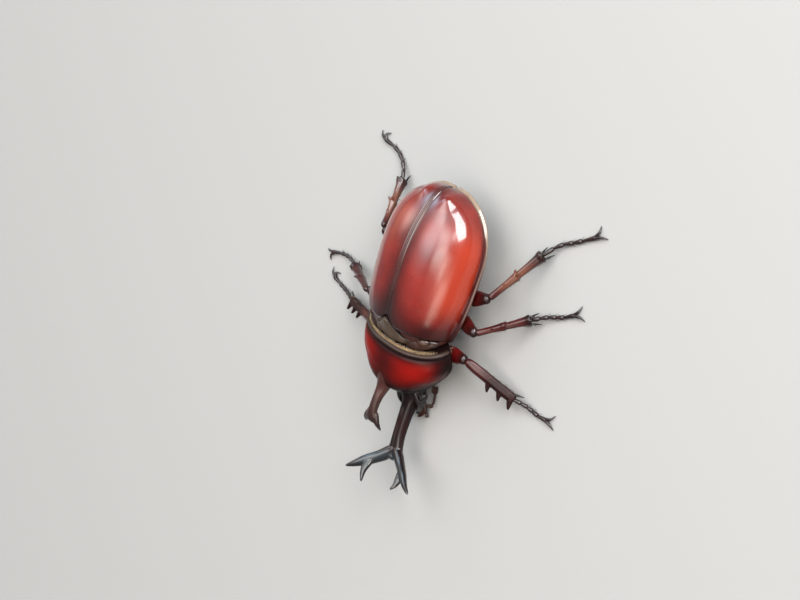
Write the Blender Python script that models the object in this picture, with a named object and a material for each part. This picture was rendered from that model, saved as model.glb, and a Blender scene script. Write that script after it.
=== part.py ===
"""A male rhinoceros beetle at life size, standing on the floor z = 0 with its head bent down.

Lengths are millimetres in the animal's own frame: +X is its left, -Y is the way it faces, +Z is up,
and y = 0 is where the wing cases begin. Every shell plate, horn and leg part is one closed solid.
The last step turns millimetres into metres and stands the whole animal over the origin.
"""

import math

import bmesh
import bpy
from mathutils import Matrix, Vector

MM = 0.001
GAP = 0.3  # clearance between neighbouring pieces
FINEST = 0.26  # least half thickness of a tip
SIDES = {"left": 1, "right": -1}
X, Y, Z = Vector((1, 0, 0)), Vector((0, 1, 0)), Vector((0, 0, 1))

# Wing cases: a long dome, cut in two along the back
CASE_LENGTH = 30.0
CASE_HALF_WIDTH = 12.35
CASE_MARGIN_Z = 8.5
CASE_MARGIN_RISE = 0.8
CASE_BASE_Z = 18.3
CASE_CREST_Z = 18.7
CASE_CREST_AT = 0.38
CASE_TIP_Z = 11.9
CASE_WALL = 0.9
CASE_END = 0.997  # the dome is closed by a small upright facet here

# Prothorax: a dome over a box, pitched down about the middle of its hind edge
PRO_HINGE = Vector((0, -4.0, 15.4))
PRO_PITCH = math.radians(28)
PRO_LENGTH = 12.75
PRO_WIDTH = ((0, 11.3), (0.35, 11.8), (0.7, 8.85), (1, 5.5))
PRO_TOP = ((0, 0.0), (0.35, 1.9), (0.7, 2.75), (0.86, 1.6), (1, -1.3))
PRO_FLANK = ((0, -6.9), (1, -5.6))
PRO_KEEL = ((0, -10.3), (0.4, -10.4), (0.75, -9.2), (1, -8.2))
EDGE_ROUNDING = 0.35  # its front and hind faces are this much smaller all round

# Head: turned a little to the animal's left
NECK = Vector((0, -13.0, 4.0))
HEAD_YAW = math.radians(12.8)
EYE_RADIUS = 0.95
RIGHT_TINE_EXTRA = 0.6  # the right fork's inner tine is this much longer, the left one's shorter

# Limbs: (share of the length, half width, half depth)
COXA = ((0, 0.8, 0.7), (0.3, 1.75, 1.5), (0.75, 1.75, 1.4), (1, 0.85, 0.8))
FEMUR = ((0, 0.5, 0.5), (0.06, 1.0, 0.8), (0.3, 1.55, 0.95), (0.6, 1.5, 0.9), (0.88, 1.05, 0.85),
         (1, 0.5, 0.5))
FRONT_TIBIA = ((0, 0.45, 0.4), (0.07, 0.85, 0.7), (0.3, 0.95, 0.7), (0.6, 1.3, 0.75), (0.92, 1.6, 0.75),
               (1, 0.9, 0.5))
OTHER_TIBIA = ((0, 0.45, 0.4), (0.07, 0.85, 0.7), (0.3, 0.8, 0.65), (0.5, 1.1, 0.85), (0.56, 0.85, 0.7),
               (0.88, 1.15, 0.95), (0.97, 1.5, 1.2), (1, 0.9, 0.7))
CLAW = ((0, 0.3, 0.34), (0.5, 0.3, 0.34), (1, FINEST, FINEST))
COXA_ROOT_X = 1.8  # a coxa starts this far from the middle
KNEE_GAP, HIP_GAP, ANKLE_GAP, FOOT_GAP = 0.38, 0.4, 0.2, 0.35  # how far the pieces are drawn back
TARSUS_ENDS = (0, 0.24, 0.41, 0.57, 0.73, 1)  # shares of the foot where its five joints end
CLAW_LENGTH = 2.3
CLAW_SPREAD = 30  # degrees to each side

# Where each leg's joints are: hip, knee, ankle, then the tarsus as it lies, and how far its claws turn
POSES = {
    "front_left": {
        "hip": (4.6, -4.4, 2.7), "knee": (14.0, -1.7, 6.8), "ankle": (25.4, -5.2, 2.2),
        "tarsus": ((28.2, -5.5, 1.0), (30.4, -6.1, 0.48), (32.7, -5.9, 0.48)), "claw_turn": 5},
    "front_right": {
        "hip": (-4.6, -4.4, 2.6), "knee": (-14.3, -6.3, 6.1), "ankle": (-26.0, -6.9, 2.3),
        "tarsus": ((-29.1, -6.6, 1.0), (-32.3, -6.1, 0.48), (-35.2, -5.3, 0.48)), "claw_turn": -62},
    "middle_left": {
        "hip": (5.8, 3.9, 2.7), "knee": (15.5, 5.1, 8.6), "ankle": (22.8, 11.3, 2.2),
        "tarsus": ((25.6, 13.2, 1.1), (28.2, 14.3, 0.48), (30.7, 16.0, 0.48)), "claw_turn": 0},
    "middle_right": {
        "hip": (-5.8, 3.9, 2.7), "knee": (-16.4, -0.1, 8.2), "ankle": (-27.6, 0.6, 2.3),
        "tarsus": ((-31.2, 1.1, 1.1), (-34.7, 0.8, 0.48), (-37.7, -0.1, 0.48)), "claw_turn": 20},
    "hind_left": {
        "hip": (5.6, 8.1, 2.7), "knee": (16.1, 12.9, 8.8), "ankle": (20.4, 24.1, 2.3),
        "tarsus": ((22.3, 26.9, 1.0), (25.3, 28.8, 0.48), (29.3, 31.5, 0.48)), "claw_turn": 15},
    "hind_right": {
        "hip": (-5.6, 8.1, 2.7), "knee": (-16.4, 14.6, 9.0), "ankle": (-21.4, 23.9, 2.2),
        "tarsus": ((-23.6, 26.7, 1.0), (-27.2, 28.9, 0.48), (-31.7, 29.7, 0.48)), "claw_turn": -55},
}
TOOTH_DIRECTION = {"front": Vector((0, -1, 0.15)), "middle": Vector((0, 0.2, 1)), "hind": Vector((0, 0.2, 1))}

# Colour and roughness of each kind of surface
FINISHES = {
    "red_shell": ((0.33, 0.035, 0.015), 0.2),
    "dark_red": ((0.12, 0.012, 0.008), 0.3),
    "black_brown": ((0.02, 0.008, 0.006), 0.25),
    "olive_brown": ((0.10, 0.07, 0.04), 0.5),
    "amber": ((0.35, 0.12, 0.03), 0.6),
    "eye_black": ((0.005, 0.004, 0.004), 0.1),
}


def profile(stations, place):
    """Value at a place on the smooth curve through (place, value) stations."""
    places = [station[0] for station in stations]
    values = [station[1] for station in stations]
    last = len(stations) - 1

    def slope(k):
        before, after = max(k - 1, 0), min(k + 1, last)
        return (values[after] - values[before]) / (places[after] - places[before])

    k = max(k for k in range(last) if k == 0 or places[k] <= place)
    span = places[k + 1] - places[k]
    s = (place - places[k]) / span
    return ((1 + 2 * s) * (1 - s) ** 2 * values[k] + s * (1 - s) ** 2 * span * slope(k)
            + s * s * (3 - 2 * s) * values[k + 1] + s * s * (s - 1) * span * slope(k + 1))


def smooth_path(points, shares):
    """Points at the given shares of the length of a smooth path through a few points."""
    points = [Vector(point) for point in points]
    lengths = [0.0]
    for start, end in zip(points, points[1:]):
        lengths.append(lengths[-1] + (end - start).length)
    axes = [list(zip(lengths, [point[axis] for point in points])) for axis in range(3)]
    return [Vector(profile(axis, share * lengths[-1]) for axis in axes) for share in shares]


def power(value, exponent):
    """A signed power, which makes an ellipse's sine and cosine into a rounder or a boxier outline."""
    return math.copysign(abs(value) ** exponent, value)


def ring(centre, side, up, half_width, half_depth, count):
    """Ellipse of points round a centre."""
    turns = [2 * math.pi * k / count for k in range(count)]
    return [centre + side * half_width * math.cos(a) + up * half_depth * math.sin(a) for a in turns]


def body_ring(y, half_width, flank_z, top_z, keel_z, lean, count, top_power=0.9, keel_power=1.2):
    """Cross-section of the body: a dome over a flank line and a keel under it, leaning by an angle."""
    points = []
    for k in range(count):
        a = 2 * math.pi * k / count
        rise, bend = (top_z - flank_z, top_power) if math.sin(a) > 0 else (flank_z - keel_z, keel_power)
        z = flank_z + rise * power(math.sin(a), bend)
        x = half_width * power(math.cos(a), 0.9)
        points.append(Vector((x, y + (PRO_HINGE.z - z) * math.tan(lean), z)))
    return points


def closed_mesh(shape):
    """Mesh from a bmesh, its doubles merged and its faces turned outwards."""
    bmesh.ops.remove_doubles(shape, verts=shape.verts, dist=1e-4)
    bmesh.ops.recalc_face_normals(shape, faces=shape.faces)
    mesh = bpy.data.meshes.new("shape")
    shape.to_mesh(mesh)
    shape.free()
    return mesh


def loft(rings):
    """Closed mesh through rings of equally many points, with a flat face over each end."""
    shape = bmesh.new()
    loops = [[shape.verts.new(point) for point in points] for points in rings]
    for near, far in zip(loops, loops[1:]):
        for k in range(len(near)):
            shape.faces.new((near[k - 1], near[k], far[k], far[k - 1]))
    ends = [shape.faces.new(loop) for loop in (loops[0], loops[-1])]
    bmesh.ops.triangulate(shape, faces=ends, ngon_method="EAR_CLIP")
    return closed_mesh(shape)


def shell(outer, inner):
    """Closed mesh between two grids of points that have equal rows and columns."""
    shape = bmesh.new()
    sheets = [[[shape.verts.new(point) for point in row] for row in grid] for grid in (outer, inner)]
    rows, columns = len(outer), len(outer[0])
    for sheet in sheets:
        for i in range(rows - 1):
            for j in range(columns - 1):
                shape.faces.new((sheet[i][j], sheet[i + 1][j], sheet[i + 1][j + 1], sheet[i][j + 1]))
    rim = [(i, 0) for i in range(rows)] + [(rows - 1, j) for j in range(1, columns)]
    rim += [(i, columns - 1) for i in range(rows - 2, -1, -1)] + [(0, j) for j in range(columns - 2, 0, -1)]
    for (i, j), (m, n) in zip(rim, rim[1:] + rim[:1]):
        shape.faces.new((sheets[0][i][j], sheets[0][m][n], sheets[1][m][n], sheets[1][i][j]))
    bmesh.ops.triangulate(shape, faces=shape.faces)
    bmesh.ops.dissolve_degenerate(shape, dist=1e-4, edges=shape.edges)
    return closed_mesh(shape)


def limb(points, stations, broad, count, floor=None):
    """Closed mesh round a smooth path. Its half widths lie along the broad direction."""
    shares = [station[0] for station in stations]
    path = smooth_path(points, shares)
    ahead = smooth_path(points, [min(share + 0.01, 1.0) for share in shares])
    behind = smooth_path(points, [max(share - 0.01, 0.0) for share in shares])
    rings = []
    for (_, half_width, half_depth), centre, front, back in zip(stations, path, ahead, behind):
        along = (front - back).normalized()
        side = (broad - along * broad.dot(along)).normalized()
        rings.append(ring(centre, side, along.cross(side), half_width, half_depth, count))
    if floor is not None:
        rings = [[Vector((p.x, p.y, max(p.z, floor))) for p in points] for points in rings]
    return loft(rings)


def combined(base, others, operation):
    """Mesh of the base with the others joined to it or cut from it."""
    pieces = [bpy.data.objects.new("shape", mesh) for mesh in (base, *others)]
    for piece in pieces:
        bpy.context.scene.collection.objects.link(piece)
    for other in pieces[1:]:
        modifier = pieces[0].modifiers.new(operation.title(), "BOOLEAN")
        modifier.operation = operation
        modifier.object = other
    bpy.context.view_layer.update()
    result = bpy.data.meshes.new_from_object(pieces[0].evaluated_get(bpy.context.evaluated_depsgraph_get()))
    for piece in pieces:
        bpy.data.objects.remove(piece)
    return result


def material(name, finish):
    """Principled material of one sub-part."""
    color, roughness = FINISHES[finish]
    surface = bpy.data.materials.new(f"{name}_{finish}")
    surface.use_nodes = True
    shader = surface.node_tree.nodes["Principled BSDF"]
    shader.inputs["Base Color"].default_value = (*color, 1)
    shader.inputs["Roughness"].default_value = roughness
    shader.inputs["Metallic"].default_value = 0.0
    return surface


def make(name, mesh, finish="dark_red"):
    """Object for one sub-part, with its own material."""
    mesh.materials.clear()
    mesh.materials.append(material(name, finish))
    mesh.name = name
    mesh.shade_smooth()
    mesh.set_sharp_from_angle(angle=math.radians(40))
    bpy.context.scene.collection.objects.link(bpy.data.objects.new(name, mesh))


def grown(mesh):
    """The same mesh pushed outwards by a little more than the clearance."""
    for vert in mesh.vertices:
        vert.co += vert.normal * GAP * 1.1
    return mesh


def between(start, end, before=0.0, after=0.0):
    """Start and end of a straight part, each drawn back from its joint."""
    start, end = Vector(start), Vector(end)
    along = (end - start).normalized()
    return [start + along * before, end - along * after]


def case_point(t, u, side, inset=0.0):
    """Point on a wing case, t from base to tip and u from the seam to the margin, moved inwards by inset."""
    if t < 0.5:
        plan = 1 - 0.13 * (1 - 2 * t) ** 2
    else:
        plan = (1 - (2 * t - 1) ** 2.7) ** (1 / 2.1)
    if t < CASE_CREST_AT:
        top = CASE_CREST_Z - (CASE_CREST_Z - CASE_BASE_Z) * (1 - t / CASE_CREST_AT) ** 2
    else:
        fall = ((t - CASE_CREST_AT) / (1 - CASE_CREST_AT)) ** 2.3
        top = CASE_TIP_Z + (CASE_CREST_Z - CASE_TIP_Z) * (1 - fall) ** (1 / 1.6)
    margin = CASE_MARGIN_Z + CASE_MARGIN_RISE * max(0.0, t - 0.6)
    a = u * math.pi / 2
    x = max((CASE_HALF_WIDTH * plan - inset) * math.sin(a) ** 0.87, GAP / 2)
    z = margin + (top - inset - margin) * max(math.cos(a), 0.0) ** 0.91
    return Vector((side * x, GAP + t * (CASE_LENGTH - GAP - inset), z))


def wing_case(side):
    """One case: a curved wall whose rows lie closer together towards the tip."""
    rows, columns = 15, 9
    places = [CASE_END * (1 - (1 - i / rows) ** 1.6) for i in range(rows + 1)]
    grids = []
    for inset in (0.0, CASE_WALL):
        grid = [[case_point(t, j / columns, side, inset) for j in range(columns + 1)] for t in places]
        grid.append([Vector((side * GAP / 2, point.y, point.z)) for point in grid[-1]])
        grids.append(grid)
    return combined(shell(*grids), [scutellum_room()], "DIFFERENCE")


def prothorax(grow=0.0):
    """Dome and box of the prothorax, or the same grown outwards for cutting what meets it."""
    turn = Matrix.Rotation(PRO_PITCH, 3, "X")
    rings = []
    for share in (0, 0.04, 0.15, 0.3, 0.45, 0.6, 0.75, 0.87, 0.96, 1):
        shrink = EDGE_ROUNDING if share in (0, 1) else 0.0
        half_width = profile(PRO_WIDTH, share) + grow - shrink
        top, keel = profile(PRO_TOP, share) + grow - shrink, profile(PRO_KEEL, share) - grow + shrink
        section = body_ring(0, half_width, profile(PRO_FLANK, share), top, keel, 0, 22, 0.95, 1.35)
        y = -share * PRO_LENGTH + (grow if share == 0 else -grow if share == 1 else 0)
        rings.append([PRO_HINGE + turn @ Vector((point.x, y, point.z)) for point in section])
    return loft(rings)


def thorax():
    """The middle and hind thorax in one, its front face lying along the prothorax's hind face."""
    stations = (  # y at the hinge's height, half width, flank, top, keel, lean
        (-3.4, 7.5, 9.2, 12.6, 5.6, PRO_PITCH), (-3.0, 8.8, 9.0, 13.4, 4.6, PRO_PITCH),
        (-1.2, 9.6, 8.4, 14.4, 3.4, 0.45), (1.5, 10.2, 8.1, 16.0, 3.0, 0.25),
        (5.0, 10.6, 8.0, 16.8, 2.9, 0.06), (7.2, 10.7, 8.0, 16.9, 2.9, 0), (8.9, 10.7, 8.0, 16.8, 3.0, 0),
        (9.3, 10.3, 8.0, 16.4, 3.4, 0))
    return loft([body_ring(*station, 20, 0.95, 1.5) for station in stations])


def abdomen():
    """The hind body, under the wing cases."""
    stations = (  # y, half width, flank, top, keel
        (9.7, 10.2, 8.1, 16.3, 3.8), (10.3, 10.6, 8.1, 16.6, 3.4), (14, 10.9, 8.1, 16.5, 2.8),
        (18, 10.7, 8.1, 15.7, 2.8), (22, 9.7, 8.2, 14.2, 3.6), (25, 8.1, 8.2, 12.3, 4.9),
        (27, 6.2, 8.0, 10.3, 6.2))
    return loft([body_ring(*station, 0, 20, 0.95, 1.4) for station in stations])


def pygidium():
    """The last plate, under the tips of the wing cases."""
    stations = (  # y, half width, flank, top, keel
        (27.3, 5.8, 8.0, 10.0, 6.2), (27.9, 5.0, 7.9, 9.6, 6.3), (28.4, 3.4, 7.8, 8.9, 6.6),
        (28.7, 2.0, 7.7, 8.2, 7.0))
    return loft([body_ring(*station, 0, 16) for station in stations])


def scutellum():
    """The sloping plate in front of the wing cases and its triangular tip between them."""
    stations = (  # y and z of the crest, half width, lean
        (-3.5, 14.7, 6.0, PRO_PITCH), (-2.8, 15.3, 6.2, PRO_PITCH), (-1.5, 16.1, 5.0, 0.35),
        (-0.6, 16.8, 3.3, 0.1), (0.2, 17.4, 2.0, 0), (0.9, 17.8, 1.1, 0), (1.4, 17.9, 0.5, 0))
    thickness = 0.8
    rings = []
    for y, z, half_width, lean in stations:
        droop = 0.05 * half_width ** 2
        top = [Vector((half_width * s, y, z - droop * s * s)) for s in (-1, -0.5, 0, 0.5, 1)]
        section = top + [point - Z * thickness for point in reversed(top)]
        rings.append([point + Y * (PRO_HINGE.z - point.z) * math.tan(lean) for point in section])
    return loft(rings)


def scutellum_room():
    """Space that the scutellum's tip needs between the wing cases."""
    low, high = 15, 21
    outline = ((-2, 3.9), (-0.6, 3.9), (0.2, 2.6), (0.9, 1.5), (1.9, 0.4))  # y, half width
    return loft([[Vector((-w, y, low)), Vector((w, y, low)), Vector((w, y, high)), Vector((-w, y, high))]
                 for y, w in outline])


def head_place(point):
    """Point in the head's own frame, turned about the neck."""
    return NECK + Matrix.Rotation(HEAD_YAW, 3, "Z") @ Vector(point)


def head(grow=0.0):
    """Low wedge that narrows to the front, or the same grown outwards for cutting what meets it."""
    stations = (  # y, z, half width, half depth, lean
        (-0.7, 0.4, 2.6, 1.8, PRO_PITCH), (-1.1, 0.4, 3.3, 2.4, PRO_PITCH), (-2.2, 0.1, 3.7, 2.4, 0.3),
        (-3.6, -0.3, 3.6, 2.1, 0), (-5.0, -0.8, 3.2, 1.7, 0), (-6.2, -1.2, 2.8, 1.3, 0),
        (-7.1, -1.5, 2.5, 0.9, 0), (-7.5, -1.6, 2.2, 0.55, 0))
    rings = []
    for y, z, half_width, half_depth, lean in stations:
        section = ring(Vector((0, y, z)), X, Z, half_width + grow, half_depth + grow, 14)
        rings.append([head_place(point + Y * (z - point.z) * math.tan(lean)) for point in section])
    return loft(rings)


def head_horn():
    """Stem of the head's horn, which rises slowly and flattens to its fork."""
    centres = ((0, -2.8, 0.0), (0, -5.8, 0.1), (0, -9.8, 1.3), (0, -13.5, 2.2), (0, -17.2, 2.7))
    stations = ((0, 1.6, 1.5), (0.12, 1.9, 1.7), (0.35, 1.6, 1.55), (0.6, 1.5, 1.4), (0.85, 1.75, 1.25),
                (0.96, 2.2, 1.15), (1, 2.1, 0.9))
    stem = limb([head_place(centre) for centre in centres], stations, X, 12)
    return combined(stem, [head(GAP)], "DIFFERENCE")


def horn_branch(side):
    """One half of the fork: a curved branch that ends in an outer and an inner tine."""
    tip_y = -23.5 + side * RIGHT_TINE_EXTRA
    outer_centres = ((1.6, -18.0, 3.0), (3.3, -18.6, 3.9), (5.6, -19.9, 5.3), (7.7, -21.1, 6.6),
                     (9.7, -22.1, 7.5))
    inner_centres = ((5.0, -19.5, 5.0), (5.0, -21.6, 6.4), (4.4, tip_y, 7.4))
    outer_stations = ((0, 0.9, 0.9), (0.08, 1.35, 1.1), (0.35, 1.25, 0.95), (0.6, 1.25, 0.85),
                      (0.8, 0.8, 0.6), (1, FINEST, FINEST))
    inner_stations = ((0, 0.8, 0.7), (0.35, 0.95, 0.7), (0.7, 0.6, 0.5), (1, FINEST, FINEST))
    outer = limb([head_place((side * x, y, z)) for x, y, z in outer_centres], outer_stations, Y, 9)
    inner = limb([head_place((side * x, y, z)) for x, y, z in inner_centres], inner_stations, X, 8)
    return combined(outer, [inner], "UNION")


def pronotum_horn():
    """The forked horn of the prothorax, its foot shaped to the dome below it."""
    stem_centres = ((0, -11.0, 12.2), (0, -14.6, 12.5), (0, -17.5, 13.2), (0, -20.5, 13.4), (0, -22.6, 12.9))
    stem_stations = ((0, 2.4, 2.2), (0.3, 1.6, 1.5), (0.5, 1.05, 1.1), (0.75, 1.1, 0.9), (0.93, 1.7, 0.75),
                     (1, 1.4, 0.5))
    tine_stations = ((0, 0.6, 0.5), (0.4, 0.75, 0.6), (0.8, 0.5, 0.45), (1, FINEST, FINEST))
    tines = []
    for side in SIDES.values():
        centres = ((side * 0.7, -21.0, 13.2), (side * 1.8, -22.7, 12.9), (side * 2.4, -24.0, 11.7))
        tines.append(limb(centres, tine_stations, X, 8))
    forked = combined(limb(stem_centres, stem_stations, X, 12), tines, "UNION")
    return combined(forked, [prothorax(GAP)], "DIFFERENCE")


def eye(side):
    centre = head_place((side * 3.75, -3.4, 0.1))
    rings = []
    for tilt in (-1.3, -0.8, -0.25, 0.25, 0.8, 1.3):
        radius = EYE_RADIUS * math.cos(tilt)
        rings.append(ring(centre + Z * EYE_RADIUS * math.sin(tilt), X, Y, radius, radius, 10))
    return combined(loft(rings), [head(GAP)], "DIFFERENCE")


def antenna(side):
    """Feeler folded back under the side of the head: a bent stalk and a small club."""
    centres = ((3.2, -5.9, -1.9), (3.9, -5.8, -2.5), (4.1, -4.6, -2.9), (4.1, -3.2, -3.1), (3.7, -1.6, -3.1))
    stations = ((0, 0.4, 0.4), (0.18, 0.5, 0.5), (0.3, 0.32, 0.32), (0.62, 0.32, 0.32), (0.7, 0.6, 0.4),
                (0.85, 0.8, 0.5), (0.97, 0.6, 0.4), (1, 0.3, 0.28))
    return limb([head_place((side * x, y, z)) for x, y, z in centres], stations, X, 8)


def palp(side):
    centres = ((1.9, -6.6, -2.75), (2.6, -7.9, -3.0), (3.0, -9.2, -3.2))
    stations = ((0, 0.3, 0.3), (0.4, 0.38, 0.38), (0.8, 0.4, 0.4), (1, FINEST, FINEST))
    return limb([head_place((side * x, y, z)) for x, y, z in centres], stations, X, 6)


def mouthparts():
    """Flat pad of jaws and lip under the front of the head."""
    centres = ((0, -4.4, -2.75), (0, -6.0, -2.95), (0, -7.6, -2.8), (0, -8.4, -2.6))
    pad = limb([head_place(centre) for centre in centres],
               ((0, 1.6, 0.4), (0.3, 2.0, 0.65), (0.75, 1.6, 0.6), (1, 0.9, 0.35)), X, 12)
    return combined(pad, [head(GAP)], "DIFFERENCE")


def coxa(pose, side, body):
    """Hip piece: a short thick part under the body, its root cut to the body's surface."""
    hip = Vector(pose["hip"])
    root = Vector((side * COXA_ROOT_X, hip.y - 0.4, hip.z + 0.5))
    return combined(limb([root, hip], COXA, Y, 10), [body], "DIFFERENCE")


def femur(pose):
    return limb(between(pose["hip"], pose["knee"], HIP_GAP, KNEE_GAP), FEMUR, Y, 9)


def front_spines(knee, ankle, along, edge):
    """(start, end, radius) of the three outer teeth and the one spur of a front shin."""
    found = []
    for share in (0.5, 0.72, 0.93):
        start = knee.lerp(ankle, share) + edge * 0.6
        found.append((start, start + edge * 1.9 + along * 0.9, 0.6))
    found.append((ankle - along * 1.2 - edge * 0.7, ankle + along * 1.2 - edge * 1.7, 0.4))
    return found


def other_spines(knee, ankle, along, edge):
    """(start, end, radius) of the two pairs of outer teeth and the two spurs of the other shins."""
    across = along.cross(edge)
    found = []
    for share, reach in ((0.5, 1.3), (0.93, 1.2)):
        for turn in (-0.5, 0.5):
            start = knee.lerp(ankle, share) + edge * 0.3
            found.append((start, start + (edge + across * turn).normalized() * reach + along * 0.9, 0.42))
    for turn in (-0.6, 0.6):
        start = ankle - along * 0.9 + across * turn - edge * 0.3
        found.append((start, start + along * 2.6 + across * turn - edge * 0.5, 0.38))
    return found


def tibia(pair, pose):
    """Shin with its outer teeth and end spurs."""
    knee, ankle = between(pose["knee"], pose["ankle"], KNEE_GAP, ANKLE_GAP)
    along = (ankle - knee).normalized()
    outer = TOOTH_DIRECTION[pair]
    edge = (outer - along * outer.dot(along)).normalized()
    spines = (front_spines if pair == "front" else other_spines)(knee, ankle, along, edge)
    spikes = [limb([start, end], ((0, radius, radius), (1, FINEST, FINEST)), X + Z * 0.3, 5)
              for start, end, radius in spines]
    shaft = limb([knee, ankle], FRONT_TIBIA if pair == "front" else OTHER_TIBIA, edge, 8)
    return combined(shaft, spikes, "UNION")


def claw(tip, ahead, turn, spread):
    """One claw, which bends further the same way as it goes and dips to the floor."""
    near = Matrix.Rotation(math.radians(turn + spread), 3, "Z")
    far = Matrix.Rotation(math.radians(1.6 * (turn + spread)), 3, "Z")
    middle = tip + near @ ahead * CLAW_LENGTH * 0.5 + Z * 0.05
    end = middle + far @ ahead * CLAW_LENGTH * 0.55 - Z * 0.3
    return limb([tip - ahead * 0.6, middle, end], CLAW, Z, 6, floor=0.0)


def tarsus(pose):
    """Foot of five joints, flat where it lies on the floor, with two claws."""
    points = [between(pose["ankle"], pose["tarsus"][0], FOOT_GAP)[0]]
    points += [Vector(point) for point in pose["tarsus"]]
    stations = []
    for start, end in zip(TARSUS_ENDS, TARSUS_ENDS[1:]):
        waist, swelling, rim = start + 0.005, start + 0.7 * (end - start), end - 0.008
        stations += [(waist, 0.36, 0.36), (swelling, 0.55, 0.55), (rim, 0.46, 0.46)]
    foot = limb(points, stations, X + Y, 7, floor=0.0)
    ahead = (points[-1] - points[-2]).normalized()
    claws = [claw(points[-1], ahead, pose["claw_turn"], spread) for spread in (-CLAW_SPREAD, CLAW_SPREAD)]
    return combined(foot, claws, "UNION")


def make_body():
    for name, side in SIDES.items():
        make(f"elytron_{name}", wing_case(side), "red_shell")
    make("pronotum", prothorax(), "red_shell")
    make("pronotum_horn", pronotum_horn())
    make("scutellum", scutellum(), "olive_brown")
    make("thorax", thorax())
    make("abdomen", abdomen())
    make("pygidium", pygidium())


def make_head():
    make("head", head(), "black_brown")
    make("head_horn", head_horn(), "black_brown")
    make("mouthparts", mouthparts(), "amber")
    for name, side in SIDES.items():
        make(f"head_horn_branch_{name}", horn_branch(side), "black_brown")
        make(f"eye_{name}", eye(side), "eye_black")
        make(f"antenna_{name}", antenna(side))
        make(f"palp_{name}", palp(side))


def make_legs():
    for name, pose in POSES.items():
        pair, side = name.split("_")
        body = prothorax(GAP) if pair == "front" else grown(thorax())
        make(f"{pair}_coxa_{side}", coxa(pose, SIDES[side], body))
        make(f"{pair}_femur_{side}", femur(pose))
        make(f"{pair}_tibia_{side}", tibia(pair, pose))
        make(f"{pair}_tarsus_{side}", tarsus(pose), "black_brown")


def stand_over_origin():
    """Turn millimetres into metres and centre the animal's box on the origin, feet on z = 0."""
    points = [vert.co for piece in bpy.data.objects for vert in piece.data.vertices]
    lows = [min(point[axis] for point in points) for axis in range(3)]
    highs = [max(point[axis] for point in points) for axis in range(3)]
    centre = Vector(((lows[0] + highs[0]) / 2, (lows[1] + highs[1]) / 2, lows[2]))
    for piece in bpy.data.objects:
        piece.data.transform(Matrix.Scale(MM, 4) @ Matrix.Translation(-centre))


for old in list(bpy.data.objects):
    bpy.data.objects.remove(old)
make_body()
make_head()
make_legs()
stand_over_origin()
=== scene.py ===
import math

import bmesh
import bpy
import numpy as np
from mathutils import Matrix, Vector


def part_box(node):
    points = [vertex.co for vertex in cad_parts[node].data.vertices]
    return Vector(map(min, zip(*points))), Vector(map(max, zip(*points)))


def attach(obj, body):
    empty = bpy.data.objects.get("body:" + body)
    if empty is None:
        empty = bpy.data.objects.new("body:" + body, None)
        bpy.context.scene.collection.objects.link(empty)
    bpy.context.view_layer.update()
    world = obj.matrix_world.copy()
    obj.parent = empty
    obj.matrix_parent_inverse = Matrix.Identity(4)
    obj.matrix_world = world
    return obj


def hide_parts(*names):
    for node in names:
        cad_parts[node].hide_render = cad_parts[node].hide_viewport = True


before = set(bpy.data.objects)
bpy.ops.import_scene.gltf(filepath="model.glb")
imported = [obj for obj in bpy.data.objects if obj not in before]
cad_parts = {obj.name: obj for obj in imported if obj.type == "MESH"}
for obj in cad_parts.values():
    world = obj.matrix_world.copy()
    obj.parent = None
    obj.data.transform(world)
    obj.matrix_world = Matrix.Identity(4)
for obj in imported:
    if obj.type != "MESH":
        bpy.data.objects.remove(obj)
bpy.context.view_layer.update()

print("frame loaded")

# Shapes are worked out in millimetres in the animal's own frame: +X is its left, -Y the way it faces,
# y = 0 is where the wing cases begin and z = 0 is the floor. finishPiece puts them in place, in metres.
mm = 0.001
gap = 0.3
caseLow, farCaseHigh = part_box("elytron_left")[0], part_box("elytron_right")[1]
anchor = Vector(((caseLow.x + farCaseHigh.x) / 2, caseLow.y - gap * mm, 0))
sides = {"left": 1, "right": -1}
xAxis, yAxis, zAxis = np.eye(3)


def unit(vectors):
    return vectors / np.maximum(np.linalg.norm(vectors, axis=-1, keepdims=True), 1e-9)


def bump(values, centre, width):
    return np.exp(-((values - centre) / width) ** 2)


def ease(values, start, end):
    s = np.clip((values - start) / (end - start), 0, 1)
    return s * s * (3 - 2 * s)


def power(values, exponent):
    return np.sign(values) * np.abs(values) ** exponent


def profile(stations, places):
    # smooth curve through (place, value, ...) stations
    knots = np.array([station[0] for station in stations], float)
    values = np.array([station[1:] for station in stations], float)
    steps = np.arange(len(knots))
    before, after = np.maximum(steps - 1, 0), np.minimum(steps + 1, len(knots) - 1)
    slopes = (values[after] - values[before]) / (knots[after] - knots[before])[:, None]
    places = np.asarray(places, float)
    k = np.clip(np.searchsorted(knots, places, "right") - 1, 0, len(knots) - 2)
    span = (knots[k + 1] - knots[k])[..., None]
    s = (places - knots[k])[..., None] / span
    return ((1 + 2 * s) * (1 - s) ** 2 * values[k] + s * (1 - s) ** 2 * span * slopes[k]
            + s * s * (3 - 2 * s) * values[k + 1] + s * s * (s - 1) * span * slopes[k + 1])


def smoothPath(points, shares):
    points = np.array(points, float)
    lengths = np.concatenate([[0], np.cumsum(np.linalg.norm(np.diff(points, axis=0), axis=1))])
    return profile(np.column_stack([lengths / lengths[-1], points]), shares)


def turns(count):
    return (2 * np.pi * np.arange(count) / count)[None, :]


def roundSection(angles, shares):
    return np.cos(angles), np.sin(angles)


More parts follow.
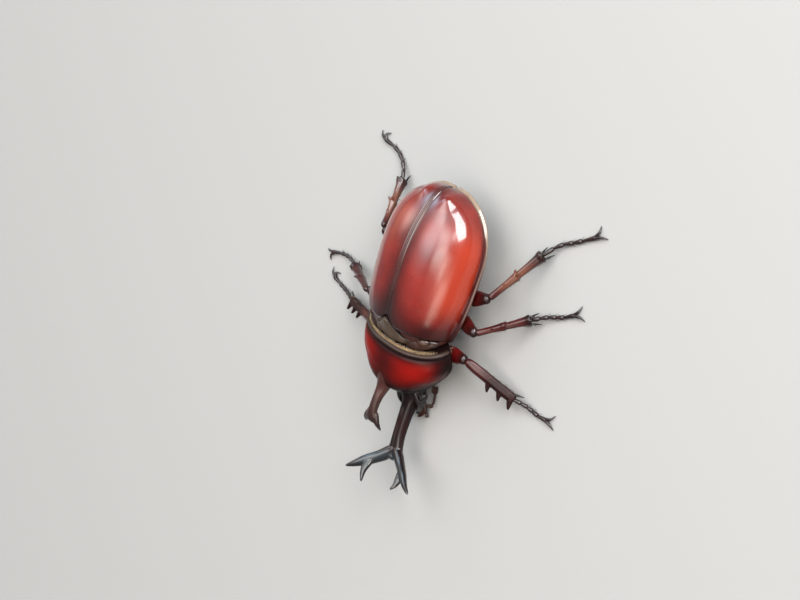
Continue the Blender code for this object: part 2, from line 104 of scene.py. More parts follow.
def tube(points, stations, broad, rows, columns, section=roundSection, caps=(0.03, 0.03), edges=None):
    # closed limb: rings round a path, whose half widths lie along and across the broad direction, with
    # its ends rounded off over caps and its darkness by share of its length in edges
    even, crowded = np.linspace(0, 1, rows), (1 - np.cos(np.linspace(0.0, np.pi, rows))) / 2
    shares = 0.45 * crowded + 0.55 * even  # rings lie closer near the ends
    path = smoothPath(points, shares)
    ahead, behind = (smoothPath(points, (shares + step).clip(0, 1)) for step in (0.01, -0.01))
    along = unit(ahead - behind)
    sizes = profile(stations, shares)
    for end, reach in ((shares, caps[0]), (1 - shares, caps[1])):
        if reach > 0:
            rounding = 1 - (1 - end / reach).clip(0, 1) ** 2
            sizes = sizes * np.sqrt(np.clip(rounding, 0.0004, 1))[:, None]
    broad = np.asarray(broad, float)
    side = unit(broad - along * (along @ broad)[:, None])
    other = np.cross(along, side)
    angles = turns(columns)
    wide, high = section(angles, shares[:, None])
    grid = (path[:, None] + side[:, None] * (sizes[:, :1] * wide)[..., None]
            + other[:, None] * (sizes[:, 1:2] * high)[..., None])
    marks = {"edge": profile(edges, shares[:, None] + 0 * angles)[..., 0].clip(0, 1)} if edges else {}
    return tubeMesh(grid, marks)


def raised(grid, heights, centre, wrap=True):
    # the grid pushed outwards, away from the centre, by a height at each point
    downRows = np.gradient(grid, axis=0)
    acrossColumns = np.roll(grid, -1, 1) - np.roll(grid, 1, 1) if wrap else np.gradient(grid, axis=1)
    normals = unit(np.cross(downRows, acrossColumns))
    normals *= np.sign((normals * (grid - centre)).sum(-1, keepdims=True))
    return grid + normals * heights[..., None]


def mark(mesh, name, values):
    # a number or a vector at each point, which surfaces and trees read by name
    vector = np.ndim(values) == 2
    kind = "FLOAT_VECTOR" if vector else "FLOAT"
    layer = mesh.attributes.get(name) or mesh.attributes.new(name, kind, "POINT")
    layer.data.foreach_set("vector" if vector else "value", np.ravel(values).astype(np.float32))


def meshOf(points, quads, triangles, marks, corners=None):
    # mesh from arrays, turned so that its faces point outwards
    faces = np.concatenate([triangles, quads[:, :3], quads[:, [0, 2, 3]]])
    a, b, c = (points[faces[:, k]] for k in range(3))
    inward = (a * np.cross(b, c)).sum() < 0
    order = slice(None, None, -1 if inward else 1)
    mesh = bpy.data.meshes.new("shape")
    mesh.from_pydata(points.tolist(), [], quads[:, order].tolist() + triangles[:, order].tolist())
    for name, values in marks.items():
        mark(mesh, name, values)
    if corners:
        uv = np.concatenate([part[:, order].reshape(-1, 2) for part in corners])
        mesh.uv_layers.new(name="skinUV").data.foreach_set("uv", uv.astype(np.float32).ravel())
    mesh.shade_smooth()
    return mesh


def cells(grid, following):
    # corners of the squares between each column of a grid and the one that follows it
    return np.stack([grid[:-1], grid[1:], following[1:], following[:-1]], 2)


def tubeMesh(grid, marks=None):
    # closed mesh over rings of points, with a pole at each end
    rows, columns = grid.shape[:2]
    index = np.arange(rows * columns).reshape(rows, columns)
    after = np.roll(index, -1, 1)
    pole = np.full(columns, rows * columns)
    triangles = np.concatenate([np.stack([pole, index[0], after[0]], 1),
                                np.stack([pole + 1, after[-1], index[-1]], 1)])
    points = np.concatenate([grid.reshape(-1, 3), grid[[0, -1]].mean(1)])
    full = {name: np.append(values, values[[0, -1]].mean(1)) for name, values in (marks or {}).items()}
    v, u = np.meshgrid(np.linspace(0, 1, rows), np.linspace(0, 1, columns + 1), indexing="ij")
    uv = np.stack([u, v], 2)
    low, high = uv[:, :-1], uv[:, 1:]
    corners = [cells(low, high).reshape(-1, 4, 2), np.stack([low[0], low[0], high[0]], 1),
               np.stack([low[-1], high[-1], low[-1]], 1)]
    return meshOf(points, cells(index, after).reshape(-1, 4), triangles, full, corners)


def shellMesh(outer, inner, marks):
    # closed wall between two sheets of points, joined along all four edges
    count = outer.shape[0] * outer.shape[1]
    index = np.arange(count).reshape(outer.shape[:2])
    sheet = cells(index[:, :-1], index[:, 1:]).reshape(-1, 4)
    rim = np.concatenate([index[:, 0], index[-1, 1:], index[-2::-1, -1], index[0, -2:0:-1]])
    after = np.roll(rim, -1)
    wall = np.stack([after, rim, rim + count, after + count], 1)
    quads = np.concatenate([sheet, sheet[:, ::-1] + count, wall])
    points = np.concatenate([outer.reshape(-1, 3), inner.reshape(-1, 3)])
    full = {name: np.tile(values.ravel(), 2) for name, values in marks.items()}
    return meshOf(points, quads, np.zeros((0, 3), int), full)


def pointsOf(mesh):
    points = np.empty(len(mesh.vertices) * 3, np.float32)
    mesh.vertices.foreach_get("co", points)
    return points.reshape(-1, 3).astype(float)


def placed(name, data):
    thing = bpy.data.objects.new(name, data)
    bpy.context.scene.collection.objects.link(thing)
    return thing


def evaluated(helper):
    # plain mesh of a helper object with its modifiers, after which the helper is removed
    bpy.context.view_layer.update()
    graph = bpy.context.evaluated_depsgraph_get()
    mesh = bpy.data.meshes.new_from_object(helper.evaluated_get(graph))
    bpy.data.objects.remove(helper)
    return mesh


def joined(meshes):
    # one mesh that holds them all
    helpers = [placed("helper", mesh) for mesh in meshes]
    with bpy.context.temp_override(active_object=helpers[0], selected_editable_objects=helpers):
        bpy.ops.object.join()
    bpy.data.objects.remove(helpers[0])
    return meshes[0]


def fused(meshes, voxel, smoothing):
    # one skin over meshes that run into each other, its creases softened
    helper = placed("helper", joined(meshes))
    remesh = helper.modifiers.new("Fuse", "REMESH")
    remesh.mode, remesh.voxel_size = "VOXEL", voxel
    smooth = helper.modifiers.new("Soften", "SMOOTH")
    smooth.factor, smooth.iterations = 0.5, smoothing
    mesh = evaluated(helper)
    mesh.shade_smooth()
    return mesh


def nearestShare(points, path, steps=160):
    # how far along a path each point lies, and how far from it
    shares = np.linspace(0, 1, steps)
    distances = np.linalg.norm(points[:, None] - smoothPath(path, shares)[None], axis=-1)
    return shares[distances.argmin(1)], distances.min(1)


def nearestDistance(points, line):
    squares = (points ** 2).sum(-1)[:, None] + (line ** 2).sum(-1)[None] - 2 * points @ line.T
    return np.sqrt(np.maximum(squares.min(1), 0))


def finishPiece(name, mesh, surface, slot, *replaced):
    # object at the origin with its place in its mesh, riding on the one body
    mesh.transform(Matrix.Translation(anchor) @ Matrix.Scale(mm, 4))
    mesh.materials.clear()
    mesh.materials.append(surfaces[surface])
    mesh.name = name
    piece = placed(name, mesh)
    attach(piece, "root")
    if replaced:
        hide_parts(*replaced)


def out(node, name=None):
    return next(s for s in node.outputs if s.enabled and name in (None, s.name))


def setSockets(tree, node, values):
    # each socket takes a value, or a link from another socket or from a node's first output
    for key, value in values.items():
        socket = node.inputs[key] if isinstance(key, int) else next(
            s for s in node.inputs if s.name == key and s.enabled)
        if isinstance(value, bpy.types.Node):
            value = out(value)
        if isinstance(value, bpy.types.NodeSocket):
            tree.links.new(value, socket)
        else:
            socket.default_value = (*value, 1) if socket.type == "RGBA" else value


def addNode(tree, kind, values=None, **settings):
    node = tree.nodes.new(kind)
    for name, value in settings.items():
        setattr(node, name, value)
    setSockets(tree, node, values or {})
    return node


def vectorMath(tree, operation, *values, **named):
    named.update(enumerate(values))
    return addNode(tree, "ShaderNodeVectorMath", named, operation=operation)


def numberMath(tree, operation, *values):
    return addNode(tree, "ShaderNodeMath", dict(enumerate(values)), operation=operation)


def attribute(tree, name, kind="FLOAT_VECTOR"):
    return addNode(tree, "GeometryNodeInputNamedAttribute", {"Name": name}, data_type=kind)


def aligned(tree, along, up):
    # rotation that turns Z along one direction and Y towards another
    kind = "FunctionNodeAlignRotationToVector"
    first = addNode(tree, kind, {"Vector": along}, axis="Z")
    return addNode(tree, kind, {"Rotation": first, "Vector": up}, axis="Y", pivot_axis="Z")


def newTree(name, **inputs):
    # empty tree with named inputs of the given kinds, and the sockets that bring them in
    tree = bpy.data.node_groups.new(name, "GeometryNodeTree")
    for label, kind in {"Geometry": "Geometry", **inputs}.items():
        tree.interface.new_socket(label, in_out="INPUT", socket_type="NodeSocket" + kind)
    tree.interface.new_socket("Geometry", in_out="OUTPUT", socket_type="NodeSocketGeometry")
    return tree, {socket.name: socket for socket in tree.nodes.new("NodeGroupInput").outputs}


def endTree(tree, geometry, material, place=None):
    # plain geometry with its material, unwrapped to a place where one is given
    real = addNode(tree, "GeometryNodeRealizeInstances", {"Geometry": geometry})
    if place:
        real = addNode(tree, "GeometryNodeStoreNamedAttribute", {
            "Geometry": real, "Name": "OFBake", "Value": place}, data_type="FLOAT2", domain="CORNER")
    painted = addNode(tree, "GeometryNodeSetMaterial", {"Geometry": real, "Material": material})
    addNode(tree, "NodeGroupOutput", {"Geometry": painted})
    return tree


def runTree(tree, mesh, **values):
    # the mesh a tree makes from a mesh, without the attributes that only the tree reads
    helper = placed("helper", mesh)
    modifier = helper.modifiers.new("Make", "NODES")
    modifier.node_group = tree
    for item in tree.interface.items_tree:
        if item.in_out == "INPUT" and item.name in values:
            modifier[item.identifier] = values[item.name]
    made = evaluated(helper)
    for name in ("hairLie", "hairDensity", "tuftUV", "skinUV", "heading", "upward", "size"):
        if name in made.attributes:
            made.attributes.remove(made.attributes[name])
    return made


def buildCopiesTree():
    # a copy of one shape at each point, turned by heading and upward and scaled by size
    tree, given = newTree("Copies Along A Limb", Shape="Object", Material="Material")
    shape = addNode(tree, "GeometryNodeObjectInfo", {"Object": given["Shape"]})
    made = addNode(tree, "GeometryNodeInstanceOnPoints", {
        "Points": given["Geometry"], "Instance": out(shape, "Geometry"),
        "Rotation": aligned(tree, attribute(tree, "heading"), attribute(tree, "upward")),
        "Scale": attribute(tree, "size")})
    return endTree(tree, made, given["Material"])


def buildCoatTree():
    # tufts over a skin, Density to the square mm, that lie along its hairLie and lean out by Lift
    numbers = dict.fromkeys(("Density", "Length", "Width", "Lift", "Disorder"), "Float")
    tree, given = newTree("Hair Coat", Tuft="Object", Material="Material", **numbers, Seed="Int")
    seed, width = given["Seed"], given["Width"]
    tuft = addNode(tree, "GeometryNodeObjectInfo", {"Object": given["Tuft"]})
    density = numberMath(tree, "MULTIPLY", attribute(tree, "hairDensity", "FLOAT"), given["Density"])
    roots = addNode(tree, "GeometryNodeDistributePointsOnFaces", {
        "Mesh": given["Geometry"], "Density": density, "Seed": seed})
    normal = out(roots, "Normal")
    stray = addNode(tree, "FunctionNodeRandomValue", {0: (-1, -1, -1), 1: (1, 1, 1), "Seed": seed},
                    data_type="FLOAT_VECTOR")
    lift = vectorMath(tree, "SCALE", normal, Scale=given["Lift"])
    lean = vectorMath(tree, "ADD", attribute(tree, "hairLie"), lift)
    lean = vectorMath(tree, "ADD", lean, vectorMath(tree, "SCALE", stray, Scale=given["Disorder"]))
    share = addNode(tree, "FunctionNodeRandomValue", {2: 0.6, 3: 1.2, "Seed": seed})
    length = numberMath(tree, "MULTIPLY", share, given["Length"])
    made = addNode(tree, "GeometryNodeInstanceOnPoints", {
        "Points": roots, "Instance": out(tuft, "Geometry"),
        "Scale": addNode(tree, "ShaderNodeCombineXYZ", {"X": width, "Y": width, "Z": length}),
        "Rotation": aligned(tree, vectorMath(tree, "NORMALIZE", lean), normal)})
    # each tuft takes a small patch of the unwrap
    patch = vectorMath(tree, "SCALE", attribute(tree, "tuftUV"), Scale=0.003)
    place = vectorMath(tree, "ADD", attribute(tree, "skinUV"), patch)
    return endTree(tree, made, given["Material"], place)


def buildFacetTree():
    # a ball's faces turned into six-sided facets that stand out a little
    tree, given = newTree("Eye Facets", Height="Float", Share="Float", Material="Material")
    dual = addNode(tree, "GeometryNodeDualMesh", {"Mesh": given["Geometry"]})
    facets = addNode(tree, "GeometryNodeExtrudeMesh", {
        "Mesh": dual, "Offset Scale": given["Height"], "Individual": True}, mode="FACES")
    domed = addNode(tree, "GeometryNodeScaleElements", {
        "Geometry": facets, "Selection": out(facets, "Top"), "Scale": given["Share"]})
    return endTree(tree, domed, given["Material"])


def mixed(tree, factor, first, second):
    return addNode(tree, "ShaderNodeMix", {"Factor": factor, "A": first, "B": second}, data_type="RGBA")


def ranged(tree, value, low, high, start=0.0, end=1.0):
    return addNode(tree, "ShaderNodeMapRange", {
        "Value": value, "From Min": low, "From Max": high, "To Min": start, "To Max": end})


def paint(name, look):
    # shell or hair surface: mottled colour that turns dark at edges, with pits and fine grain
    look = {**plainLook, **look}
    surface = bpy.data.materials.new(name)
    surface.use_nodes = True
    tree = surface.node_tree
    place = out(addNode(tree, "ShaderNodeTexCoord"), "Object")

    def pattern(kind, scale, **more):
        return addNode(tree, "ShaderNodeTex" + kind, {"Vector": place, "Scale": scale, **more})

    def relief(depth, height, **under):
        given = {"Strength": 1.0, "Distance": depth * mm, "Height": height, **under}
        return addNode(tree, "ShaderNodeBump", given)

    def zoneShare(zone):
        return out(addNode(tree, "ShaderNodeAttribute", attribute_name=zone), "Fac")

    mottle = pattern("Noise", look["mottle"], Detail=5.0, Roughness=0.6)
    speck = pattern("Noise", look["mottle"] * 9, Detail=3.0, Roughness=0.7)
    color = mixed(tree, ranged(tree, mottle, 0.35, 0.65), look["deep"], look["bright"])
    color = mixed(tree, ranged(tree, speck, 0.5, 0.8, 0.0, look["specks"]), color, look["edge"])
    # warm, edge and rim zones; on the wing cases, prothorax and fork some of these are painted light,
    # shade and reflections
    for zone in ("warm", "edge", "rim"):
        if zone in look:
            color = mixed(tree, zoneShare(zone), color, look[zone])
    gloss = look["coat"]
    if "dull" in look:  # gloss fades where the dull attribute is set
        gloss = ranged(tree, zoneShare("dull"), 0.0, 1.0, gloss, gloss * look["dull"])
    under = {}
    if "pits" in look:
        size, depth = look["pits"]
        pits = pattern("Voronoi", 1 / (size * mm), Randomness=1.0)
        under["Normal"] = relief(depth, ranged(tree, pits, 0.0, 0.42))
    size, depth = look["grain"]
    grain = relief(depth, pattern("Noise", 1 / (size * mm), Detail=6.0), **under)
    setSockets(tree, tree.nodes["Principled BSDF"], {
        "Base Color": color, "Roughness": ranged(tree, speck, 0.3, 0.7, *look["roughness"]),
        "Coat Weight": gloss, "Coat Roughness": look["coatRoughness"], "Coat IOR": 1.45,
        "Specular IOR Level": look["specular"], "Sheen Weight": look["sheen"], "Normal": grain})
    return surface


plainLook = dict(roughness=(0.3, 0.5), coat=0.25, coatRoughness=0.2, specular=0.3, mottle=260.0,
                 specks=0.4, sheen=0.0)
hairLook = dict(roughness=(0.35, 0.55), coat=0.0, coatRoughness=0.1, specular=0.5, mottle=900.0,
                specks=0.25, sheen=0.2, grain=(0.05, 0.002))
looks = {  # pits and grain: size and depth in mm
    "case": dict(
        deep=(0.063, 0.0028, 0.0017), bright=(0.12, 0.0063, 0.0028), edge=(0.007, 0.0021, 0.0017),
        # warm is painted light glowing through the case, rim a painted reflection along its margin
        warm=(0.21, 0.018, 0.0056), rim=(0.14, 0.1, 0.07), roughness=(0.26, 0.36), coat=1.0, dull=0.1,
        coatRoughness=0.09, specular=0.2, mottle=90.0, specks=0.12,
        pits=(0.42, 0.004), grain=(0.6, 0.008)),
    "prothorax": dict(
        deep=(0.063, 0.0021, 0.0017), bright=(0.1, 0.0035, 0.0021), edge=(0.0049, 0.0021, 0.0021),
        # warm is a painted lit patch, rim a painted highlight on the hind bead, and edge partly painted
        # shade
        warm=(0.14, 0.0035, 0.0021), rim=(0.049, 0.032, 0.025), roughness=(0.3, 0.42), coat=0.06,
        coatRoughness=0.15, specular=0.06, mottle=120.0, specks=0.2,
        pits=(0.3, 0.006), grain=(0.35, 0.008)),
    "horn": dict(
        deep=(0.0042, 0.0017, 0.0017), bright=(0.0098, 0.0028, 0.0024), edge=(0.0021, 0.0017, 0.0017),
        # rim is a painted bluish reflection on the upper faces of the fork
        rim=(0.007, 0.011, 0.013), roughness=(0.34, 0.5), coat=1.0, dull=0.15, coatRoughness=0.1,
        specular=0.1, pits=(0.28, 0.006), grain=(0.25, 0.008)),
    "redHorn": dict(
        deep=(0.015, 0.0042, 0.0035), bright=(0.032, 0.007, 0.0049), edge=(0.0056, 0.0028, 0.0021),
        roughness=(0.3, 0.46), pits=(0.28, 0.012), grain=(0.25, 0.02)),
    "plate": dict(
        deep=(0.032, 0.018, 0.01), bright=(0.052, 0.032, 0.018), edge=(0.0084, 0.0042, 0.0028),
        roughness=(0.35, 0.55), coat=0.2, mottle=320.0, specks=0.5,
        pits=(0.22, 0.015), grain=(0.2, 0.02)),
    "amber": dict(
        deep=(0.014, 0.0035, 0.0028), bright=(0.035, 0.014, 0.0056), edge=(0.0084, 0.0021, 0.0021),
        roughness=(0.3, 0.45), coat=0.3, coatRoughness=0.12, specular=0.2, mottle=500.0,
        grain=(0.2, 0.01)),
    "underside": dict(
        deep=(0.025, 0.0063, 0.0042), bright=(0.049, 0.011, 0.0063), edge=(0.007, 0.0035, 0.0028),
        mottle=240.0, pits=(0.3, 0.015), grain=(0.25, 0.02)),
    "leg": dict(
        deep=(0.017, 0.0021, 0.0021), bright=(0.035, 0.0035, 0.0028), edge=(0.0042, 0.0021, 0.0021),
        warm=(0.14, 0.0042, 0.0049), rim=(0.084, 0.029, 0.017), roughness=(0.34, 0.48), coat=0.5,
        dull=0.15, coatRoughness=0.07, specular=0.1, mottle=300.0, specks=0.35,
        pits=(0.35, 0.005), grain=(0.25, 0.006)),
    "foot": dict(
        deep=(0.0056, 0.0028, 0.0021), bright=(0.011, 0.0035, 0.0028), edge=(0.0028, 0.0021, 0.0021),
        roughness=(0.2, 0.36), coat=0.35, coatRoughness=0.1, mottle=500.0, specks=0.3,
        grain=(0.12, 0.008)),
    "eye": dict(
        deep=(0.0028, 0.0024, 0.0021), bright=(0.007, 0.0049, 0.0035), edge=(0.0021, 0.0021, 0.0021),
        roughness=(0.15, 0.3), coat=0.4, coatRoughness=0.06, specular=0.2, mottle=900.0, specks=0.25,
        grain=(0.1, 0.001)),
    "feeler": dict(
        deep=(0.0098, 0.0035, 0.0021), bright=(0.021, 0.0063, 0.0035), edge=(0.0056, 0.0028, 0.0021),
        coat=0.1, coatRoughness=0.1, specular=0.12, mottle=700.0, specks=0.25, grain=(0.12, 0.01)),
    "hair": dict(
        hairLook, deep=(0.17, 0.1, 0.04), bright=(0.36, 0.23, 0.1), edge=(0.07, 0.035, 0.014)),
    "darkHair": dict(
        hairLook, deep=(0.042, 0.015, 0.007), bright=(0.098, 0.042, 0.018),
        edge=(0.014, 0.0063, 0.0035)),
}
surfaces = {name: paint(name, look) for name, look in looks.items()}
copiesTree, coatTree, facetTree = buildCopiesTree(), buildCoatTree(), buildFacetTree()
print("surfaces and trees made")


def tuftShape(hairs, spread, seed):
    # a few fine curved hairs from one root, one unit long and about one unit wide
    random = np.random.default_rng(seed)
    corners = 2 * np.pi * np.arange(3) / 3
    points = []
    for k in range(hairs):
        turn = 2 * np.pi * (k + random.random() * 0.5) / hairs
        lean = np.array([np.cos(turn), np.sin(turn), 0]) * spread
        foot = lean * random.uniform(0.1, 0.5)
        tip = lean * random.uniform(0.4, 1.4)
        tip[2] = random.uniform(0.7, 1.0)
        ring = np.stack([np.cos(turn + corners), np.sin(turn + corners), 0 * corners], 1)
        for share, thickness in ((0, 0.17), (0.5, 0.13)):
            centre = foot + (tip - foot) * share ** 1.4
            centre[2] = tip[2] * share
            points.extend(centre + thickness * ring)
        points.append(tip)
    # each hair has two rings of three points and a tip
    faces = ((0, 1, 4), (0, 4, 3), (3, 4, 6), (1, 2, 5), (1, 5, 4), (4, 5, 6), (2, 0, 3), (2, 3, 5),
             (5, 3, 6), (2, 1, 0))
    heights = (0, 0, 0, 0.5, 0.5, 0.5, 1)
    points, height = np.array(points), np.tile(heights, hairs)
    triangles = [tuple(k * len(heights) + i for i in face) for k in range(hairs) for face in faces]
    mesh = bpy.data.meshes.new("tuft")
    mesh.from_pydata(points.tolist(), [], triangles)
    mark(mesh, "tuftUV", np.stack([(0.5 + 0.4 * points[:, 0]).clip(0, 1), height, 0 * height], 1))
    mesh.shade_smooth()
    return bpy.data.objects.new("tuft", mesh)


full, thin = tuftShape(5, 1.0, 4), tuftShape(3, 0.8, 7)
coats = {
    "fringe": dict(Tuft=full, Density=150.0, Length=0.95, Width=0.04, Lift=0.12, Disorder=0.08, Seed=3),
    "chest": dict(Tuft=full, Density=3.6, Length=1.25, Width=0.16, Lift=0.5, Disorder=0.4, Seed=11),
    "belly": dict(Tuft=thin, Density=2.6, Length=0.8, Width=0.13, Lift=0.35, Disorder=0.35, Seed=12),
    "legs": dict(Tuft=thin, Density=3.2, Length=0.85, Width=0.11, Lift=0.6, Disorder=0.35, Seed=13),
    "face": dict(Tuft=thin, Density=14.0, Length=0.6, Width=0.08, Lift=0.5, Disorder=0.4, Seed=14),
}


def coat(skin, kind, lie, density, tile=(0, 1)):
    # tufts over a skin, whose unwrap takes one tile of a square
    points = pointsOf(skin)
    across = int(np.ceil(np.sqrt(tile[1])))
    low = np.array([tile[0] % across, tile[0] // across]) / across
    uv = skin.uv_layers["skinUV"].data
    places = np.empty(len(uv) * 2, np.float32)
    uv.foreach_get("uv", places)
    margin = 0.04  # of a tile's width, left free on each side
    places = (places.reshape(-1, 2) * (1 - 2 * margin) + margin) / across + low
    uv.foreach_set("uv", places.astype(np.float32).ravel())
    mark(skin, "hairLie", lie + 0 * points)
    mark(skin, "hairDensity", density + 0 * points[:, 0])
    return runTree(coatTree, skin, Material=surfaces["hair"], **coats[kind])


def copies(shape, starts, headings, upward, sizes, surface):
    # copies of one shape along a limb, as one mesh
    mesh = bpy.data.meshes.new("roots")
    mesh.from_pydata([tuple(p) for p in starts], [], [])
    mark(mesh, "heading", headings)
    mark(mesh, "upward", [upward] * len(starts))
    mark(mesh, "size", sizes)
    return runTree(copiesTree, mesh, Shape=shape, Material=surfaces[surface])


case = {
    "length": 30.0, "halfWidth": 12.35, "marginZ": 8.5, "marginRise": 0.8, "baseZ": 18.3,
    "crestZ": 18.7, "crestAt": 0.38, "tipZ": 11.9, "wall": 0.9, "seam": 0.03, "rows": 150, "columns": 104,
    # x and where the base begins there, then x, y and width of each swelling
    "notch": ((0, 2.0), (0.45, 1.75), (1.5, 0.85), (2.6, 0.34), (3.6, 0.3), (14, 0.3)),
    "apexBump": (3.1, 28.1, 1.3), "shoulder": (8.7, 2.9, 1.9), "dip": (5.4, 2.2, 1.7),
}


def casePoints(t, u, inset):
    fore, aft = np.clip(1 - 2 * t, 0, 1), np.clip(2 * t - 1, 0, 1)
    plan = np.where(t < 0.5, 1 - 0.13 * fore ** 2, np.maximum(1 - aft ** 2.7, 0) ** (1 / 2.1))
    fall = np.clip((t - case["crestAt"]) / (1 - case["crestAt"]), 0, 1) ** 2.3
    crest, base, tip = case["crestZ"], case["baseZ"], case["tipZ"]
    rise = crest - (crest - base) * (1 - np.minimum(t / case["crestAt"], 1)) ** 2
    top = np.where(t < case["crestAt"], rise, tip + (crest - tip) * (1 - fall) ** (1 / 1.6))
    margin = case["marginZ"] + case["marginRise"] * np.maximum(0, t - 0.6)
    a = u * np.pi / 2
    x = np.maximum((case["halfWidth"] * plan - inset) * np.sin(a) ** 0.87, case["seam"])
    z = margin + (top - inset - margin) * np.maximum(np.cos(a), 0) ** 0.91
    return np.stack(np.broadcast_arrays(x, gap + t * (case["length"] - gap - inset), z), -1)


def wingCase(side):
    down, along = np.linspace(0, 1, case["rows"]), np.linspace(0, 1, case["columns"])
    u = (along - 0.13 * np.sin(2 * np.pi * along))[None, :]
    # rows lie closer at the base and stop just short of the tip
    s = (1 - (1 - (down - 0.1 * np.sin(2 * np.pi * down))) ** 1.5)[:, None] * 0.9997
    start = np.zeros_like(u)
    for _ in range(4):  # base follows the notch
        notch = profile(case["notch"], casePoints(start, u, 0)[..., 0])[..., 0]
        start = (notch - gap) / (case["length"] - gap)
    t = start + (1 - start) * s
    outer, inner = casePoints(t, u, 0), casePoints(np.maximum(t, 0.001), u, case["wall"])
    x, y, _ = np.moveaxis(outer, -1, 0)
    fromSeam = x - case["seam"]
    fromBase = y - profile(case["notch"], x)[..., 0]
    rim = smoothPath(outer[:, -1], np.linspace(0, 1, 500))
    fromMargin = nearestDistance(outer.reshape(-1, 3), rim).reshape(x.shape)
    swell, shoulder, dip = (bump(x, placeX, width) * bump(y, placeY, width) for placeX, placeY, width
                            in (case["apexBump"], case["shoulder"], case["dip"]))
    fade = ease(fromBase, 0.5, 5) * (1 - ease(y, 24, 29))
    heights = 0.55 * swell + 0.3 * shoulder - 0.06 * dip
    heights += 0.06 * bump(fromSeam, 0.17, 0.13)
    heights -= 0.07 * bump(fromSeam, 0.47, 0.14) * ease(fromBase, 0, 2)
    heights += 0.3 * bump(fromMargin, 0.2, 0.26) - 0.12 * bump(fromMargin, 0.85, 0.3)
    for rib, place, width in ((0.035, 0.3, 0.05), (0.02, 0.47, 0.04), (0.02, 0.64, 0.04)):
        heights += fade * rib * bump(u, place, width)
    heights += fade * 0.006 * (np.sin(y * 0.9 + x * 0.9) + np.sin(x * 1.3 - y * 0.5 + 1.3 + side))
    heights -= 0.5 * (1 - ease(fromBase, -0.05, 0.8)) ** 2 + 0.45 * (1 - ease(fromBase, 0, 6))
    outer = raised(outer, heights, np.array([4.0, 14.0, 6.0]), wrap=False)
    outer[..., 0] = np.maximum(outer[..., 0], case["seam"])
    middle, half = (outer[:, -1] + inner[:, -1]) / 2, (outer[:, -1] - inner[:, -1]) / 2
    curl = (20, 42, 64, 84)  # degrees by which the lower edge curls round
    for turn in np.radians(curl):
        c, s = np.cos(turn), np.sin(turn)
        under = -zAxis * np.linalg.norm(half, axis=1, keepdims=True) * 0.75
        outer = np.concatenate([outer, (middle + half * c + under * s)[:, None]], 1)
        inner = np.concatenate([inner, (middle - half * c + under * s)[:, None]], 1)
    darkBase = 0.95 * (1 - ease(fromBase, -0.5, 5.0 + 5.0 * (1 - ease(x, 2.0, 7.0))))
    dark = 1 - ((1 - darkBase) * (1 - 0.7 * (1 - ease(fromSeam, 0.0, 3.5))) * (1 - 0.6 * shoulder)
                * (1 - 0.7 * (1 - ease(fromMargin, 0.5, 1.6))) * (1 - 0.6 * bump(fromSeam, 0.42, 0.2)))
    # painted light: brighter orange over the middle and outer part of each case, where light glows
    # through the shell
    warm = ease(u, 0.3, 0.72) * ease(fromBase, 3.0, 10.0) * ease(fromMargin, 0.8, 2.5)
    warm = warm * (1 - ease(y, 20.0, 28.0))
    # painted reflection: a pale band along the margin that widens towards the tip
    widening = ease(y, 21.0, 28.0)
    paintedRimGlint = (1 - ease(fromMargin, 0.3 + 0.4 * widening, 0.4 + 0.7 * widening)) * ease(y, 12.0, 22.0)
    dull = (1 - ease(fromBase, 0.5, 6.0)) * ease(x, 3.0, 8.0)
    marks = {"edge": dark, "rim": paintedRimGlint, "warm": warm, "dull": dull}
    marks = {name: np.pad(values, ((0, 0), (0, len(curl))), "edge") for name, values in marks.items()}
    return shellMesh(outer * (side, 1, 1), inner * (side, 1, 1), marks)


def makeCases():
    for name, side in sides.items():
        finishPiece(f"wingCase{name.title()}", wingCase(side), "case", "wing_case", f"elytron_{name}")


prothorax = {
    "hinge": np.array([0, -4.0, 15.4]), "pitch": math.radians(28), "length": 12.75,
    "width": ((0, 11.3), (0.35, 11.8), (0.7, 8.85), (1, 5.5)),
    "top": ((0, 0.0), (0.35, 1.9), (0.7, 2.75), (0.86, 1.6), (1, -1.3)),
    "flank": ((0, -6.9), (1, -5.6)), "keel": ((0, -10.3), (0.4, -10.4), (0.75, -9.2), (1, -8.2)),
    "rounding": 0.45, "rows": 130, "columns": 190,
}


def pitched(points):
    turn = np.array(Matrix.Rotation(prothorax["pitch"], 3, "X"))
    return prothorax["hinge"] + points @ turn.T


def hull(angles, halfWidth, flank, top, keel, keelPower):
    # x and z round a cross-section of the body, which is broadest at the flank's height
    up = np.sin(angles)
    high, low = flank + (top - flank) * power(up, 0.95), flank + (flank - keel) * power(up, keelPower)
    return halfWidth * power(np.cos(angles), 0.9), np.where(up > 0, high, low)


